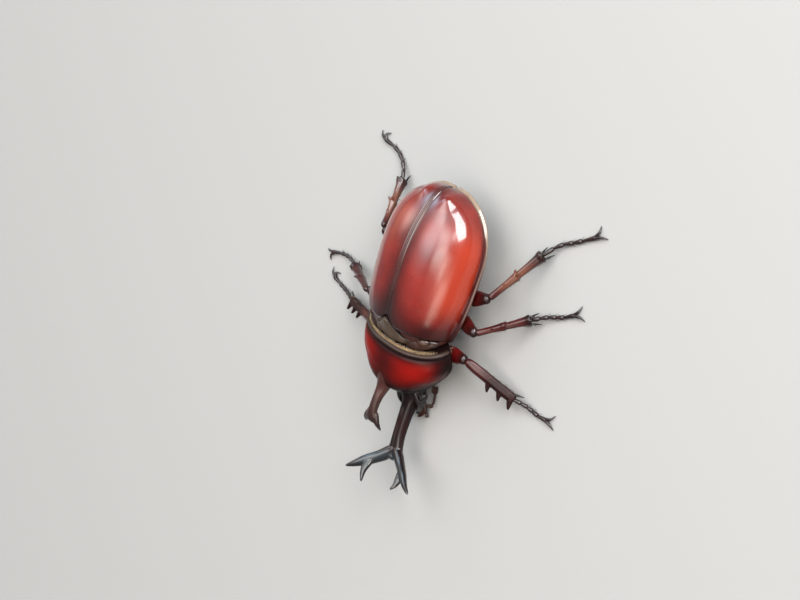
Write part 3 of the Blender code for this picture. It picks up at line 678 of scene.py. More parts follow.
def prothoraxGrid():
    down = np.linspace(0, 1, prothorax["rows"])
    closing = np.array([0.01, 0.3, 0.6, 0.8, 0.92, 0.98])  # sizes of the rings that close each end
    shares = down - 0.13 * np.sin(2 * np.pi * down)
    shares = np.concatenate([closing * 0, shares, closing * 0 + 1])[:, None]
    scale = np.concatenate([closing, down * 0 + 1, closing[::-1]])[:, None]
    fromHind, fromFront = shares * prothorax["length"], (1 - shares) * prothorax["length"]
    nearest = np.minimum(fromHind, fromFront)
    rounding = 1 - np.minimum(nearest / prothorax["rounding"], 1)
    inset = prothorax["rounding"] * (1 - np.sqrt(1 - rounding ** 2))
    stations = (prothorax[k] for k in ("width", "flank", "top", "keel"))
    width, flank, top, keel = (profile(station, shares)[..., 0] for station in stations)
    angles = turns(prothorax["columns"])
    x, z = hull(angles, width - inset, flank, top - inset, keel + inset, 1.35)
    middle = flank * 0.6 + (top - inset) * 0.4
    grid = np.stack([x * scale, -fromHind + 0 * x, middle + (z - middle) * scale], -1)
    away, above = np.abs(x), z - flank
    overTop = ease(np.sin(angles), -0.08, 0.1) * (scale > 0.99)
    dent = bump(away, 6.6, 1.3) * bump(fromHind, 5.4, 1.3)  # pit on each side of the disc
    waves = np.sin(x * 1.3 + fromHind * 0.9) + np.sin(x * 0.8 - fromHind * 1.9)
    heights = overTop * (0.16 * bump(fromHind, 0.4, 0.3) - 0.16 * bump(fromHind, 1.15, 0.35)
                         + 0.16 * bump(fromFront, 0.4, 0.3) - 0.14 * bump(fromFront, 1.1, 0.35)
                         + 0.025 * waves - 0.2 * dent)
    heights += ease(nearest, 0.2, 1.2) * (0.22 * bump(above, 0.05, 0.32) - 0.12 * bump(above, 0.85, 0.35))
    grid = raised(grid, heights, np.array([0, -6.4, -5.0]))
    # painted light and shade: red where light falls on the sides of the disc, darker towards the middle
    # line, the front, the hind edge and down the flanks
    red = (0.34 + 0.6 * ease(away, 0.5, 5.0)) * (1 - ease(away, 9.7, 11.9)) * overTop
    red = red * ease(fromHind, 0.9, 2.8) * (1 - ease(shares, 0.42, 0.78))
    # painted light: a brighter red patch on each side of the disc
    warm = bump(away, 7.5, 2.8) * bump(fromHind, 4.2, 2.1) * overTop
    # painted highlight: a paler line along the hind bead
    bead = 0.6 * bump(fromHind, 0.3, 0.25) * overTop
    return pitched(grid), {"edge": 1 - red, "warm": warm, "rim": bead}


chestHorn = {  # path and sizes of each part
    "stem": (((0, -10.4, 11.9), (0, -14.6, 12.5), (0, -17.5, 13.2), (0, -20.5, 13.4), (0, -22.9, 12.8)),
             ((0, 3.4, 2.7), (0.12, 2.6, 2.3), (0.3, 1.6, 1.5), (0.52, 1.08, 1.12), (0.77, 1.12, 0.9),
              (0.93, 1.85, 0.75), (1, 1.6, 0.5))),
    "tine": (((0.6, -20.6, 13.2), (1.7, -22.5, 12.85), (2.45, -24.1, 11.7)),
             ((0, 1.0, 0.6), (0.4, 0.82, 0.56), (0.75, 0.46, 0.36), (1, 0.1, 0.1))),
}


def chestHornMesh():
    parts = [tube(*chestHorn["stem"], xAxis, 60, 40, caps=(0, 0.05))]
    path, sizes = chestHorn["tine"]
    for side in sides.values():
        parts.append(tube(np.array(path) * (side, 1, 1), sizes, xAxis, 30, 24, caps=(0.02, 0.12)))
    mesh = fused(parts, 0.1, 8)
    share, _ = nearestShare(pointsOf(mesh), chestHorn["stem"][0])
    mark(mesh, "edge", ease(share, 0.45, 1.0) * 0.8)
    return mesh


def makeProthorax():
    finishPiece("pronotumShell", tubeMesh(*prothoraxGrid()), "prothorax", "prothorax_shell", "pronotum")
    finishPiece("chestHorn", chestHornMesh(), "redHorn", "horn", "pronotum_horn")


backPlate = {
    "stations": (  # y, height, half width and lean
        (-3.5, 14.7, 6.0, 0.489), (-2.8, 15.3, 6.2, 0.489), (-1.5, 16.1, 5.0, 0.35),
        (-0.6, 16.8, 3.3, 0.1), (0.2, 17.4, 2.25, 0), (0.9, 17.85, 1.35, 0), (1.4, 18.0, 0.8, 0),
        (1.72, 18.02, 0.3, 0)),
    "thickness": 0.8, "rows": 90, "columns": 60,
}


def leaned(y, z, lean):
    # y of a cross-section that leans with the prothorax's hind edge
    return y + (prothorax["hinge"][2] - z) * np.tan(lean)


def backPlateMesh():
    stations = backPlate["stations"]
    places = np.linspace(stations[0][0], stations[-1][0], backPlate["rows"])
    z, half, lean = profile(stations, places).T[:, :, None]
    s = np.linspace(-1, 1, backPlate["columns"])[None, :]
    x, y = half * s, places[:, None] + 0 * s
    droop = 0.05 * x ** 2
    fromEdge = half * (1 - np.abs(s))
    top = z - droop + 0.12 * bump(fromEdge, 0.15, 0.2) - 0.1 * bump(fromEdge, 0.6, 0.25)
    top = top - 0.25 * (1 - ease(fromEdge, 0, 0.25)) ** 2 + 0.25 * bump(x, 0, 1.4) * ease(y, -1.5, 0)
    top = top + 0.5 * bump(np.abs(x), 3.6, 0.9) * bump(y, -2.1, 0.9)  # swellings beside the plate
    under = z - droop - backPlate["thickness"]
    sheets = [np.stack([x, leaned(y, level, lean), level], -1) for level in (top, under)]
    dark = np.clip(1 - ease(fromEdge, 0.0, 0.5) + ease(np.abs(x), 2.5, 5.5) * 0.6, 0, 1)
    return shellMesh(*sheets, {"edge": dark})


trunk = {  # stations: y, half width, flank, top and keel heights, lean
    "thorax": (
        (-3.65, 8.9, 9.2, 13.6, 5.6, 0.489), (-3.2, 9.7, 9.0, 14.5, 4.6, 0.489),
        (-1.9, 10.1, 8.6, 15.3, 3.7, 0.44), (-0.5, 10.2, 8.3, 16.0, 3.2, 0.33),
        (1.5, 10.2, 8.1, 16.4, 3.0, 0.2), (5.0, 10.6, 8.0, 16.8, 2.9, 0.06),
        (7.2, 10.7, 8.0, 16.9, 2.9, 0), (8.9, 10.7, 8.0, 16.8, 3.0, 0), (9.6, 10.5, 8.0, 16.5, 3.2, 0)),
    "abdomen": (
        (9.3, 10.3, 8.1, 16.3, 3.7, 0), (10.3, 10.6, 8.1, 16.6, 3.4, 0), (14, 10.9, 8.1, 16.5, 2.8, 0),
        (18, 10.7, 8.1, 15.7, 2.8, 0), (22, 9.7, 8.2, 14.2, 3.6, 0), (25, 8.1, 8.2, 12.3, 4.9, 0),
        (27.2, 6.1, 8.0, 10.3, 6.1, 0)),
    "pygidium": (
        (27.0, 6.0, 8.0, 10.2, 6.1, 0), (27.9, 5.0, 7.9, 9.6, 6.3, 0), (28.4, 3.4, 7.8, 8.9, 6.6, 0),
        (28.7, 2.0, 7.7, 8.2, 7.0, 0)),
    "keelPower": {"thorax": 1.5, "abdomen": 1.4, "pygidium": 1.2},
    "segments": (10.0, 13.0, 15.9, 18.8, 21.7, 24.6, 27.4), "columns": 150,
}


def trunkGrid(name, rows):
    stations = trunk[name]
    places = np.linspace(stations[0][0], stations[-1][0], rows)[:, None]
    halfWidth, flank, top, keel, lean = np.moveaxis(profile(stations, places), -1, 0)
    angles = turns(trunk["columns"])
    x, z = hull(angles, halfWidth, flank, top, keel, trunk["keelPower"][name])
    grid = np.stack([x, leaned(places, z, lean), z], -1)
    below = ease(-np.sin(angles), 0.02, 0.25)
    heights, dark = 0 * x, 0.35 * below + 0 * x
    if name == "abdomen":
        for near, far in zip(trunk["segments"], trunk["segments"][1:]):
            within = (places >= near) & (places < far)
            share = (places - near) / (far - near)
            heights = heights + within * below * (0.3 * share ** 2 - 0.12)
            dark = dark + within * below * 0.5 * bump(share, 1.0, 0.12)
    elif name == "thorax":
        heights = heights - 0.25 * below * bump(x, 0, 0.25) * ease(places, 2, 4)
        for line in (0.6 + 0.05 * np.abs(x), 6.2 - 0.1 * np.abs(x)):
            heights = heights - 0.3 * below * bump(places, line, 0.25)
            dark = dark + 0.5 * below * bump(places, line, 0.3)
        heights = heights - 0.25 * bump(np.abs(x), 8.3 - 0.1 * places, 0.25) * below
    else:
        heights = heights + 0.1 * bump(places, 27.4, 0.2)
    centre = np.stack([0 * places, places, 0.5 * (flank + top)], -1)
    return raised(grid, heights, centre), {"edge": dark.clip(0, 1)}


def closedEnds(grid, marks):
    # the same tube with each end drawn in to its middle
    shrink = np.array([0.02, 0.35, 0.7, 0.92])[:, None, None]
    start, end = (row.mean(0) + (row - row.mean(0)) * shrink for row in (grid[0], grid[-1]))
    marks = {name: np.pad(values, ((4, 4), (0, 0)), "edge") for name, values in marks.items()}
    return tubeMesh(np.concatenate([start, grid, end[::-1]]), marks)


wingRoots = (  # paths and sizes of the plates where the cases hinge
    (((4.4, -2.4, 14.5), (7.4, -1.2, 13.9), (10.2, 0.2, 11.6)),
     ((0, 0.5, 0.25), (0.5, 1.0, 0.4), (1, 0.6, 0.3))),
    (((6.4, -0.9, 14.3), (7.9, -0.5, 14.0), (9.2, 0.0, 13.0)),
     ((0, 0.4, 0.25), (0.5, 0.8, 0.42), (1, 0.4, 0.25))),
)


def makeTrunk():
    dark = ((0, 0.9), (0.5, 0.2), (1, 0.9))
    roots = [tube(np.array(path) * (side, 1, 1), widths, yAxis, 40, 28, caps=(0.2, 0.2), edges=dark)
             for side in sides.values() for path, widths in wingRoots]
    finishPiece("wingRoots", joined(roots), "amber", "back_plate")
    finishPiece("scutellumPlate", backPlateMesh(), "plate", "back_plate", "scutellum")
    for name, rows in (("thorax", 110), ("abdomen", 130), ("pygidium", 24)):
        finishPiece(f"{name}Plates", closedEnds(*trunkGrid(name, rows)), "underside", "underside", name)


head = {
    "neck": np.array([0, -13.0, 4.0]), "yaw": math.radians(12.8),
    "rings": (  # y, height, half width, half depth and lean
        (-0.7, 0.4, 2.6, 1.8, 0.489), (-1.1, 0.4, 3.3, 2.4, 0.489), (-2.2, 0.1, 3.7, 2.4, 0.3),
        (-3.6, -0.3, 3.6, 2.1, 0), (-5.0, -0.8, 3.2, 1.7, 0), (-6.2, -1.2, 2.8, 1.3, 0),
        (-7.1, -1.5, 2.5, 0.9, 0), (-7.6, -1.6, 2.1, 0.5, 0)),
    "canthus": (((2.6, -3.9, 0.1), (3.7, -4.0, 0.15), (4.55, -3.9, 0.15)),
                ((0, 0.8, 0.3), (0.6, 0.55, 0.22), (1, 0.3, 0.15))),
    "lobe": (((0.9, -6.4, -1.35), (1.25, -7.5, -1.6), (1.45, -8.2, -1.55)),
             ((0, 1.2, 0.6), (0.6, 0.95, 0.38), (1, 0.45, 0.25))),
    "brow": (((2.0, -2.2, 1.75), (2.7, -3.6, 1.2), (2.75, -5.6, 0.35), (2.3, -7.0, -0.9)),
             ((0, 0.3, 0.3), (0.4, 0.5, 0.42), (1, 0.3, 0.3))),
    "eye": (3.75, -3.4, 0.1), "eyeRadius": 0.95,
}
headYaw = np.array(Matrix.Rotation(head["yaw"], 3, "Z"))


def headPlace(points, side=1):
    return head["neck"] + np.asarray(points, float) * (side, 1, 1) @ headYaw.T


def headTurn(vector):
    return headYaw @ np.asarray(vector, float)


def headTube(shape, side, broad, rows, columns, **more):
    # tube in the head's own frame, from its path and sizes
    path, sizes = shape
    return tube(headPlace(path, side), sizes, headTurn(broad), rows, columns, **more)


def capsuleGrid(rows=70, columns=100):
    places = np.linspace(head["rings"][0][0], head["rings"][-1][0], rows)
    flipped = [(-ring[0], *ring[1:]) for ring in head["rings"]]
    z, half, depth, lean = profile(flipped, -places).T[:, :, None]
    angles = turns(columns)
    rise, x = depth * np.sin(angles), half * power(np.cos(angles), 0.9)
    return headPlace(np.stack([x, places[:, None] - rise * np.tan(lean), z + rise], -1))


headHorn = {  # path and sizes of each part, and how much further the inner tip reaches on one side
    "stem": (((0, -1.6, -0.5), (0, -2.8, 0.0), (0, -5.8, 0.1), (0, -9.8, 1.3), (0, -13.5, 2.2),
              (0, -17.2, 2.7), (0, -18.5, 3.1)),
             ((0, 2.2, 1.9), (0.1, 2.35, 2.05), (0.2, 1.95, 1.75), (0.38, 1.6, 1.55), (0.6, 1.48, 1.38),
              (0.8, 1.72, 1.22), (0.92, 2.25, 1.15), (0.97, 2.3, 1.05), (1, 2.2, 0.9))),
    "outer": (((-0.2, -15.6, 2.5), (1.3, -16.9, 2.9), (3.1, -18.3, 3.8), (5.6, -19.8, 5.3),
               (7.7, -21.05, 6.6), (9.75, -22.15, 7.5)),
              ((0, 1.2, 0.95), (0.2, 1.4, 1.08), (0.42, 1.28, 0.95), (0.62, 1.2, 0.82),
               (0.82, 0.75, 0.55), (1, 0.24, 0.24))),
    "inner": (((4.7, -19.2, 4.7), (5.0, -21.6, 6.4), (4.4, -23.5, 7.4)),
              ((0, 0.9, 0.75), (0.35, 0.95, 0.7), (0.7, 0.58, 0.48), (1, 0.22, 0.22))),
    "longer": 0.6,
}


def grooved(angles, shares):
    # round section with a shallow channel along its upper side
    lie = bump(np.angle(np.exp(1j * (angles - np.pi / 2))), 0, 0.42)
    channel = 1 - 0.24 * lie * ease(shares, 0.2, 0.35) * (1 - ease(shares, 0.9, 1.0))
    return np.cos(angles) * channel, np.sin(angles) * channel


def headHornMesh():
    parts = [headTube(headHorn["stem"], 1, xAxis, 90, 56, section=grooved, caps=(0, 0.04))]
    path, sizes = headHorn["inner"]
    for side in sides.values():
        inner = np.array(path)
        inner[-1, 1] += side * headHorn["longer"]
        parts.append(headTube(headHorn["outer"], side, yAxis, 60, 32, caps=(0.05, 0.07)))
        parts.append(headTube((inner, sizes), side, xAxis, 40, 28, caps=(0.05, 0.1)))
    mesh = fused(parts, 0.12, 7)
    share, away = nearestShare(pointsOf(mesh), headPlace(headHorn["stem"][0]))
    mark(mesh, "edge", (0.5 * bump(share, 0.0, 0.25) + 0.5 * ease(share, 0.75, 1)).clip(0, 1))
    mark(mesh, "dull", 1 - ease(share, 0.6, 0.9))
    # painted reflection: the fork's upward faces take a cooler bluish sheen, less so towards the points
    upward = ease(np.array([vertex.normal[2] for vertex in mesh.vertices]), 0.35, 0.95)
    mark(mesh, "rim", 0.85 * ease(share, 0.84, 0.97) * upward * (1 - 0.7 * ease(away, 6, 9.5)))
    return mesh


def headMesh():
    parts = [tubeMesh(capsuleGrid())]
    for side in sides.values():  # plate that runs into the eye, lobe of the mask over the mouth, and brow
        parts.append(headTube(head["canthus"], side, yAxis, 20, 20))
        parts.append(headTube(head["lobe"], side, xAxis, 24, 24, caps=(0.03, 0.15)))
        parts.append(headTube(head["brow"], side, xAxis, 40, 16))
    mesh = fused(parts, 0.1, 6)
    mark(mesh, "edge", 0.4 + 0.4 * ease(pointsOf(mesh)[:, 2], 4, 2))
    return mesh


def eyeMesh(side):
    # ball of six-sided facets, set into the side of the head
    shape = bmesh.new()
    bmesh.ops.create_icosphere(shape, subdivisions=5, radius=1.0)
    shape.transform(Matrix.LocRotScale(Vector(headPlace(head["eye"], side)), None,
                                       Vector((1.0, 1.08, 0.92)) * head["eyeRadius"]))
    ball = bpy.data.meshes.new("ball")
    shape.to_mesh(ball)
    shape.free()
    return runTree(facetTree, ball, Height=0.012, Share=0.72, Material=surfaces["eye"])


def unitShape(name, sizes, rows, columns, caps, bow=0.0):
    # shape one unit long that the trees copy
    path = [(0, 0, 0), (bow, 0, 0.5), (0, 0, 1)]
    return bpy.data.objects.new(name, tube(path, sizes, xAxis, rows, columns, caps=caps))


# cup that widens along its length, bristle or spur, and flat leaf of the feeler's club
cupSizes = ((0, 0.55, 0.55), (0.3, 0.75, 0.75), (0.75, 1, 1), (1, 0.8, 0.8))
leafSizes = ((0, 0.5, 0.6), (0.3, 0.8, 1), (0.8, 0.9, 1), (1, 0.5, 0.7))
bead = unitShape("bead", cupSizes, 14, 14, (0.1, 0.12))
thorn = unitShape("thorn", ((0, 1, 1), (0.5, 0.7, 0.7), (1, 0.12, 0.12)), 8, 6, (0.05, 0.02), 0.15)
leaf = unitShape("leaf", leafSizes, 18, 18, (0.1, 0.15))


def beads(stops, widths, stretch, surface, flatness=1.0, overlap=0.0):
    # chain of cups from stop to stop
    steps = np.diff(stops, axis=0)
    shapes = [(w, w * flatness, np.linalg.norm(step) * stretch) for w, step in zip(widths, steps)]
    return copies(bead, stops[:-1] - steps * overlap, steps, zAxis, shapes, surface)


feeler = {
    "path": ((3.2, -5.6, -1.8), (3.75, -5.9, -2.3), (4.15, -5.2, -2.8), (4.15, -3.9, -3.0),
             (4.05, -3.1, -3.1)),
    "scape": ((0, 0.3, 0.3), (0.5, 0.34, 0.34), (0.9, 0.5, 0.5), (1, 0.4, 0.4)),
    "club": (4.0, -3.1, -3.1), "clubEnd": (3.7, -1.5, -3.1),
}


def feelerMesh(side):
    stops = smoothPath(headPlace(feeler["path"], side), np.linspace(0, 1, 9))
    parts = [tube(stops[:4], feeler["scape"], zAxis, 24, 18, caps=(0.08, 0.1)),
             beads(stops[3:], [0.3] * 5, 1.1, "feeler")]
    start, end = headPlace([feeler["club"], feeler["clubEnd"]], side)
    offsets = np.array([headTurn((side * k * 0.34, 0, 0)) for k in (-1, 0, 1)])
    shapes = [(0.2, 0.55, np.linalg.norm(end - start))] * 3
    parts.append(copies(leaf, start + offsets, end - start + offsets * 0.5, zAxis, shapes, "feeler"))
    return joined(parts)


mouth = {
    "pad": (((0, -4.0, -2.6), (0, -6.0, -2.75), (0, -7.4, -2.7), (0, -8.0, -2.6)),
            ((0, 1.6, 0.5), (0.3, 2.0, 0.7), (0.75, 1.5, 0.6), (1, 0.8, 0.35))),
    "jaw": (((1.7, -5.6, -2.3), (2.1, -7.0, -2.35), (1.5, -8.3, -2.3), (0.8, -8.9, -2.2)),
            ((0, 0.7, 0.5), (0.4, 0.8, 0.45), (0.8, 0.45, 0.3), (1, 0.2, 0.18))),
    "palp": ((1.6, -6.2, -2.7), (2.3, -7.6, -3.0), (2.6, -8.7, -3.2)),
    "palpEnds": np.array([0, 0.22, 0.45, 0.66, 1]), "palpWidths": (0.28, 0.34, 0.36, 0.4),
}


def mouthPad():
    return headTube(mouth["pad"], 1, xAxis, 40, 40)


def makeHead():
    finishPiece("headCapsule", headMesh(), "horn", "head_shell", "head")
    finishPiece("forkedHorn", headHornMesh(), "horn", "horn",
                "head_horn", "head_horn_branch_left", "head_horn_branch_right")
    jaws = [headTube(mouth["jaw"], side, xAxis, 30, 20) for side in sides.values()]
    finishPiece("mouthPad", joined([mouthPad(), *jaws]), "feeler", "mouth", "mouthparts")
    for name, side in sides.items():
        end = name.title()
        stops = smoothPath(headPlace(mouth["palp"], side), mouth["palpEnds"])
        palp = beads(stops, mouth["palpWidths"], 1.08, "feeler")
        finishPiece(f"eye{end}", eyeMesh(side), "eye", "eye", f"eye_{name}")
        finishPiece(f"feeler{end}", feelerMesh(side), "feeler", "feeler", f"antenna_{name}")
        finishPiece(f"palp{end}", palp, "feeler", "mouth", f"palp_{name}")


poses = {  # hip, knee, ankle, the foot as it lies, and how far its claws turn
    "front_left": ((4.6, -4.4, 2.7), (14.0, -1.7, 6.8), (25.4, -5.2, 2.2),
                   ((28.2, -5.5, 1.0), (30.4, -6.1, 0.48), (32.7, -5.9, 0.48)), 5),
    "front_right": ((-4.6, -4.4, 2.6), (-14.3, -6.3, 6.1), (-26.0, -6.9, 2.3),
                    ((-29.1, -6.6, 1.0), (-32.3, -6.1, 0.48), (-35.2, -5.3, 0.48)), -62),
    "middle_left": ((5.8, 3.9, 2.7), (15.5, 5.1, 8.6), (22.8, 11.3, 2.2),
                    ((25.6, 13.2, 1.1), (28.2, 14.3, 0.48), (30.7, 16.0, 0.48)), 0),
    "middle_right": ((-5.8, 3.9, 2.7), (-16.4, -0.1, 8.2), (-27.6, 0.6, 2.3),
                     ((-31.2, 1.1, 1.1), (-34.7, 0.8, 0.48), (-37.7, -0.1, 0.48)), 20),
    "hind_left": ((5.6, 8.1, 2.7), (16.1, 12.9, 8.8), (20.4, 24.1, 2.3),
                  ((22.3, 26.9, 1.0), (25.3, 28.8, 0.48), (29.3, 31.5, 0.48)), 15),
    "hind_right": ((-5.6, 8.1, 2.7), (-16.4, 14.6, 9.0), (-21.4, 23.9, 2.2),
                   ((-23.6, 26.7, 1.0), (-27.2, 28.9, 0.48), (-31.7, 29.7, 0.48)), -55),
}
limb = {
    "coxa": ((0, 0.8, 0.7), (0.3, 1.8, 1.55), (0.72, 1.75, 1.45), (1, 1.0, 0.95)), "coxaRoot": 1.8,
    "ring": ((0, 0.7, 0.7), (0.4, 0.98, 0.95), (1, 0.5, 0.4)),
    "femur": ((0, 0.75, 0.7), (0.06, 1.0, 0.82), (0.3, 1.55, 0.97), (0.6, 1.5, 0.92),
              (0.86, 1.08, 0.86), (0.96, 0.95, 0.8), (1, 0.6, 0.6)),
    "frontTibia": ((0, 0.5, 0.45), (0.05, 0.85, 0.7), (0.1, 1.0, 0.76), (0.3, 1.08, 0.74),
                   (0.6, 1.05, 0.72), (0.9, 1.08, 0.68), (1, 0.7, 0.45)),
    "otherTibia": ((0, 0.5, 0.45), (0.05, 0.75, 0.65), (0.12, 0.78, 0.66), (0.3, 0.8, 0.65),
                   (0.46, 0.95, 0.78), (0.5, 1.1, 0.85), (0.56, 0.82, 0.7), (0.88, 1.12, 0.92),
                   (0.97, 1.5, 1.2), (1, 1.2, 0.95)),
    "teethTowards": {"front": (0, -1, 0.15), "middle": (0, 0.2, 1), "hind": (0, 0.2, 1)},
    "footEnds": (0, 0.24, 0.41, 0.57, 0.73, 1), "footWidths": (0.5, 0.5, 0.5, 0.5, 0.48),
    "claw": ((0, 0.34, 0.34), (0.3, 0.29, 0.33), (0.7, 0.17, 0.2), (1, 0.05, 0.06)), "clawLength": 2.3,
    "clawSpread": 30,
    # hair of the underside: how squarely it faces down, and where it starts and stops along the limb
    "femurHair": ((0.2, 0.8), (0.2, 0.4), (0.85, 0.95)),
    "tibiaHair": ((0.5, 0.95), (0.15, 0.35), (0.9, 1.0)),
}


def lerp(a, b, share):
    return a + (b - a) * share


def across(vector, along):
    return unit(vector - along * (vector @ along))


def femurSection(angles, shares):
    # flattened, with a sharp hind edge and a soft channel under it
    around = np.exp(1j * angles)
    ridge = 1 + 0.05 * bump(np.angle(around), 0, 0.3) + 0.04 * bump(np.angle(-around), 0, 0.3)
    return power(np.cos(angles), 0.95) * ridge, power(np.sin(angles), 1.05)


def shinSection(angles, shares):
    # long ridges with channels between them
    ribs = 1 + 0.07 * np.cos(5 * angles) * ease(shares, 0.05, 0.25) * (1 - ease(shares, 0.85, 1.0))
    return np.cos(angles) * ribs, np.sin(angles) * ribs


def shinTeeth(pair, knee, ankle, along, edge):
    # (start, end, radius) of the outer teeth, then of the end spurs
    teeth, spurs = [], []
    if pair == "front":
        for share in (0.5, 0.72, 0.93):
            start = lerp(knee, ankle, share) + edge * 0.5
            teeth.append((start, start + edge * 2.0 + along * 0.9, 0.66))
        spurs.append((ankle - along * 1.0 - edge * 0.75, ankle + along * 1.2 - edge * 1.7, 0.3))
    else:
        side = np.cross(along, edge)
        for share, reach in ((0.5, 1.3), (0.93, 1.2)):
            for turn in (-0.5, 0.5):
                start = lerp(knee, ankle, share) + edge * 0.3
                teeth.append((start, start + unit(edge + side * turn) * reach + along * 0.9, 0.45))
        teeth.append((lerp(knee, ankle, 0.28) + edge * 0.2, lerp(knee, ankle, 0.32) + edge * 1.0, 0.35))
        for turn in (-0.6, 0.6):
            start = ankle - along * 0.7 + side * turn - edge * 0.3
            spurs.append((start, start + along * 2.4 + side * turn - edge * 0.5, 0.3))
    return teeth, spurs


def shinShaft(pair, knee, ankle, edge, rows, columns, **more):
    sizes = limb["frontTibia" if pair == "front" else "otherTibia"]
    return tube([knee, ankle], sizes, edge, rows, columns, section=shinSection, **more)


def shinMesh(pair, knee, ankle, edge):
    teeth, spurs = shinTeeth(pair, knee, ankle, unit(ankle - knee), edge)
    parts = [shinShaft(pair, knee, ankle, edge, 80, 48, caps=(0.04, 0.03))]
    for start, end, r in teeth:
        sizes = ((0, r, r), (0.45, r * 0.8, r * 0.7), (1, 0.2, 0.2))
        path = [start, lerp(start, end, 0.55) + edge * 0.06, end]
        parts.append(tube(path, sizes, unit(ankle - knee), 20, 16, caps=(0.05, 0.12)))
    mesh = fused(parts, 0.1, 5)
    share, away = nearestShare(pointsOf(mesh), [knee, ankle])
    ends = np.maximum(0.9 * ease(share, 0.8, 1), 0.7 * (1 - ease(share, 0, 0.12)))
    if pair == "front":
        mark(mesh, "dull", ease(share, 0.2, 0.5))
        ends = 0.75 * ease(share, 0.25, 0.6)
    if pair == "hind":
        mark(mesh, "rim", 0.8 * ease(share, 0.1, 0.35) * (1 - ease(share, 0.6, 0.9)))
    mark(mesh, "edge", np.maximum(ends, ease(away, 1.2, 2.2)))
    steps = [end - start for start, end, _ in spurs]
    shapes = [(r, r, np.linalg.norm(step)) for (_, _, r), step in zip(spurs, steps)]
    prongs = copies(thorn, [start for start, _, _ in spurs], steps, edge, shapes, "foot")
    mark(prongs, "edge", np.ones(len(prongs.vertices)))
    return joined([mesh, prongs])


def footMeshes(ankle, foot, turn):
    path = np.vstack([lerp(ankle, np.array(foot[0]), -0.22), foot])  # starts inside the shin
    stops = smoothPath(path, np.array(limb["footEnds"]))
    starts, headings, shapes = [], [], []
    for k, (stop, along) in enumerate(zip(stops[1:], unit(np.diff(stops, axis=0)))):
        side = across(np.cross(zAxis, along), along)
        for turnBy in (-1, -0.5, 0.5, 1):
            starts.append(stop - along * 0.2 + side * turnBy * 0.36 - zAxis * 0.14)
            headings.append(along + side * turnBy * 0.7 - zAxis * 0.25)
            shapes.append((0.05, 0.05, 0.9 if k < 4 else 0.5))
    parts = [beads(stops, limb["footWidths"], 1.07, "foot", 0.92, 0.02),
             copies(thorn, starts, headings, zAxis, shapes, "foot")]
    tip, ahead = path[-1], unit(path[-1] - path[-2])
    claws = []
    for spread in (-limb["clawSpread"], limb["clawSpread"]):
        near, far = (np.array(Matrix.Rotation(math.radians(share * (turn + spread)), 3, "Z")) @ ahead
                     for share in (1, 1.6))
        middle = tip + near * limb["clawLength"] * 0.5 + zAxis * 0.12
        end = middle + far * limb["clawLength"] * 0.55 - zAxis * 0.42
        claw = [tip - ahead * 0.6, middle, end]
        claws.append(tube(claw, limb["claw"], zAxis, 36, 16, caps=(0.03, 0.05)))
    meshes = [joined(parts), joined(claws)]
    for mesh in meshes:  # nothing goes through the floor
        points = pointsOf(mesh)
        points[:, 2] = np.maximum(points[:, 2], 0)
        mesh.vertices.foreach_set("co", points.astype(np.float32).ravel())
        mesh.update()
    return meshes


def makeLegs():
    # the legs' pieces, and for their hair each skin with its direction, end, underside and fringe
    skins = []
    for name, (hip, knee, ankle, foot, turn) in poses.items():
        pair, sideName = name.split("_")
        label = pair + sideName.title()
        hip, knee, ankle = np.array([hip, knee, ankle])
        along, down = unit(knee - hip), unit(ankle - knee)
        root = (sides[sideName] * limb["coxaRoot"], hip[1] - 0.4, hip[2] + 0.5)
        coxa = tube([root, hip], limb["coxa"], yAxis, 40, 44, caps=(0.06, 0.08),
                    edges=((0, 0.6), (0.5, 0.1), (1, 0.8)))
        path = [hip - along * 0.5, hip + along * 1.0 - zAxis * 0.25, hip + along * 2.6 - zAxis * 0.35]
        ring = tube(path, limb["ring"], yAxis, 28, 32, edges=((0, 0.9), (0.5, 0.2), (1, 0.5)))
        finishPiece(f"{label}Hip", joined([coxa, ring]), "leg", "leg", f"{pair}_coxa_{sideName}")
        path = [hip + along * 0.15, knee + along * 0.05]
        femur = tube(path, limb["femur"], yAxis, 90, 56, femurSection, (0.02, 0.05),
                     ((0, 0.8), (0.12, 0.1), (0.8, 0.05), (1, 0.95)))
        skins.append((femur.copy(), along, knee, zAxis, limb["femurHair"]))
        share, _ = nearestShare(pointsOf(femur), [hip, knee])
        red = 0.8 if pair == "front" else 0.3
        mark(femur, "warm", ease(share, 0.1, 0.3) * (1 - ease(share, 0.6, 0.9)) * red)
        finishPiece(f"{label}Thigh", femur, "leg", "leg", f"{pair}_femur_{sideName}")
        edge = across(np.array(limb["teethTowards"][pair], float), down)
        skins.append((shinShaft(pair, knee, ankle, edge, 60, 36), down, ankle, edge, limb["tibiaHair"]))
        shin = shinMesh(pair, knee, ankle, edge)
        finishPiece(f"{label}Shin", shin, "leg", "leg", f"{pair}_tibia_{sideName}")
        footMesh, claws = footMeshes(ankle, foot, turn)
        finishPiece(f"{label}Foot", footMesh, "foot", "foot", f"{pair}_tarsus_{sideName}")
        finishPiece(f"{label}Claws", claws, "foot", "foot")
    return skins


fringe = {"row": 8, "columns": 60, "from": 0.1 * np.pi, "to": 0.9 * np.pi, "width": 0.3, "count": 400}


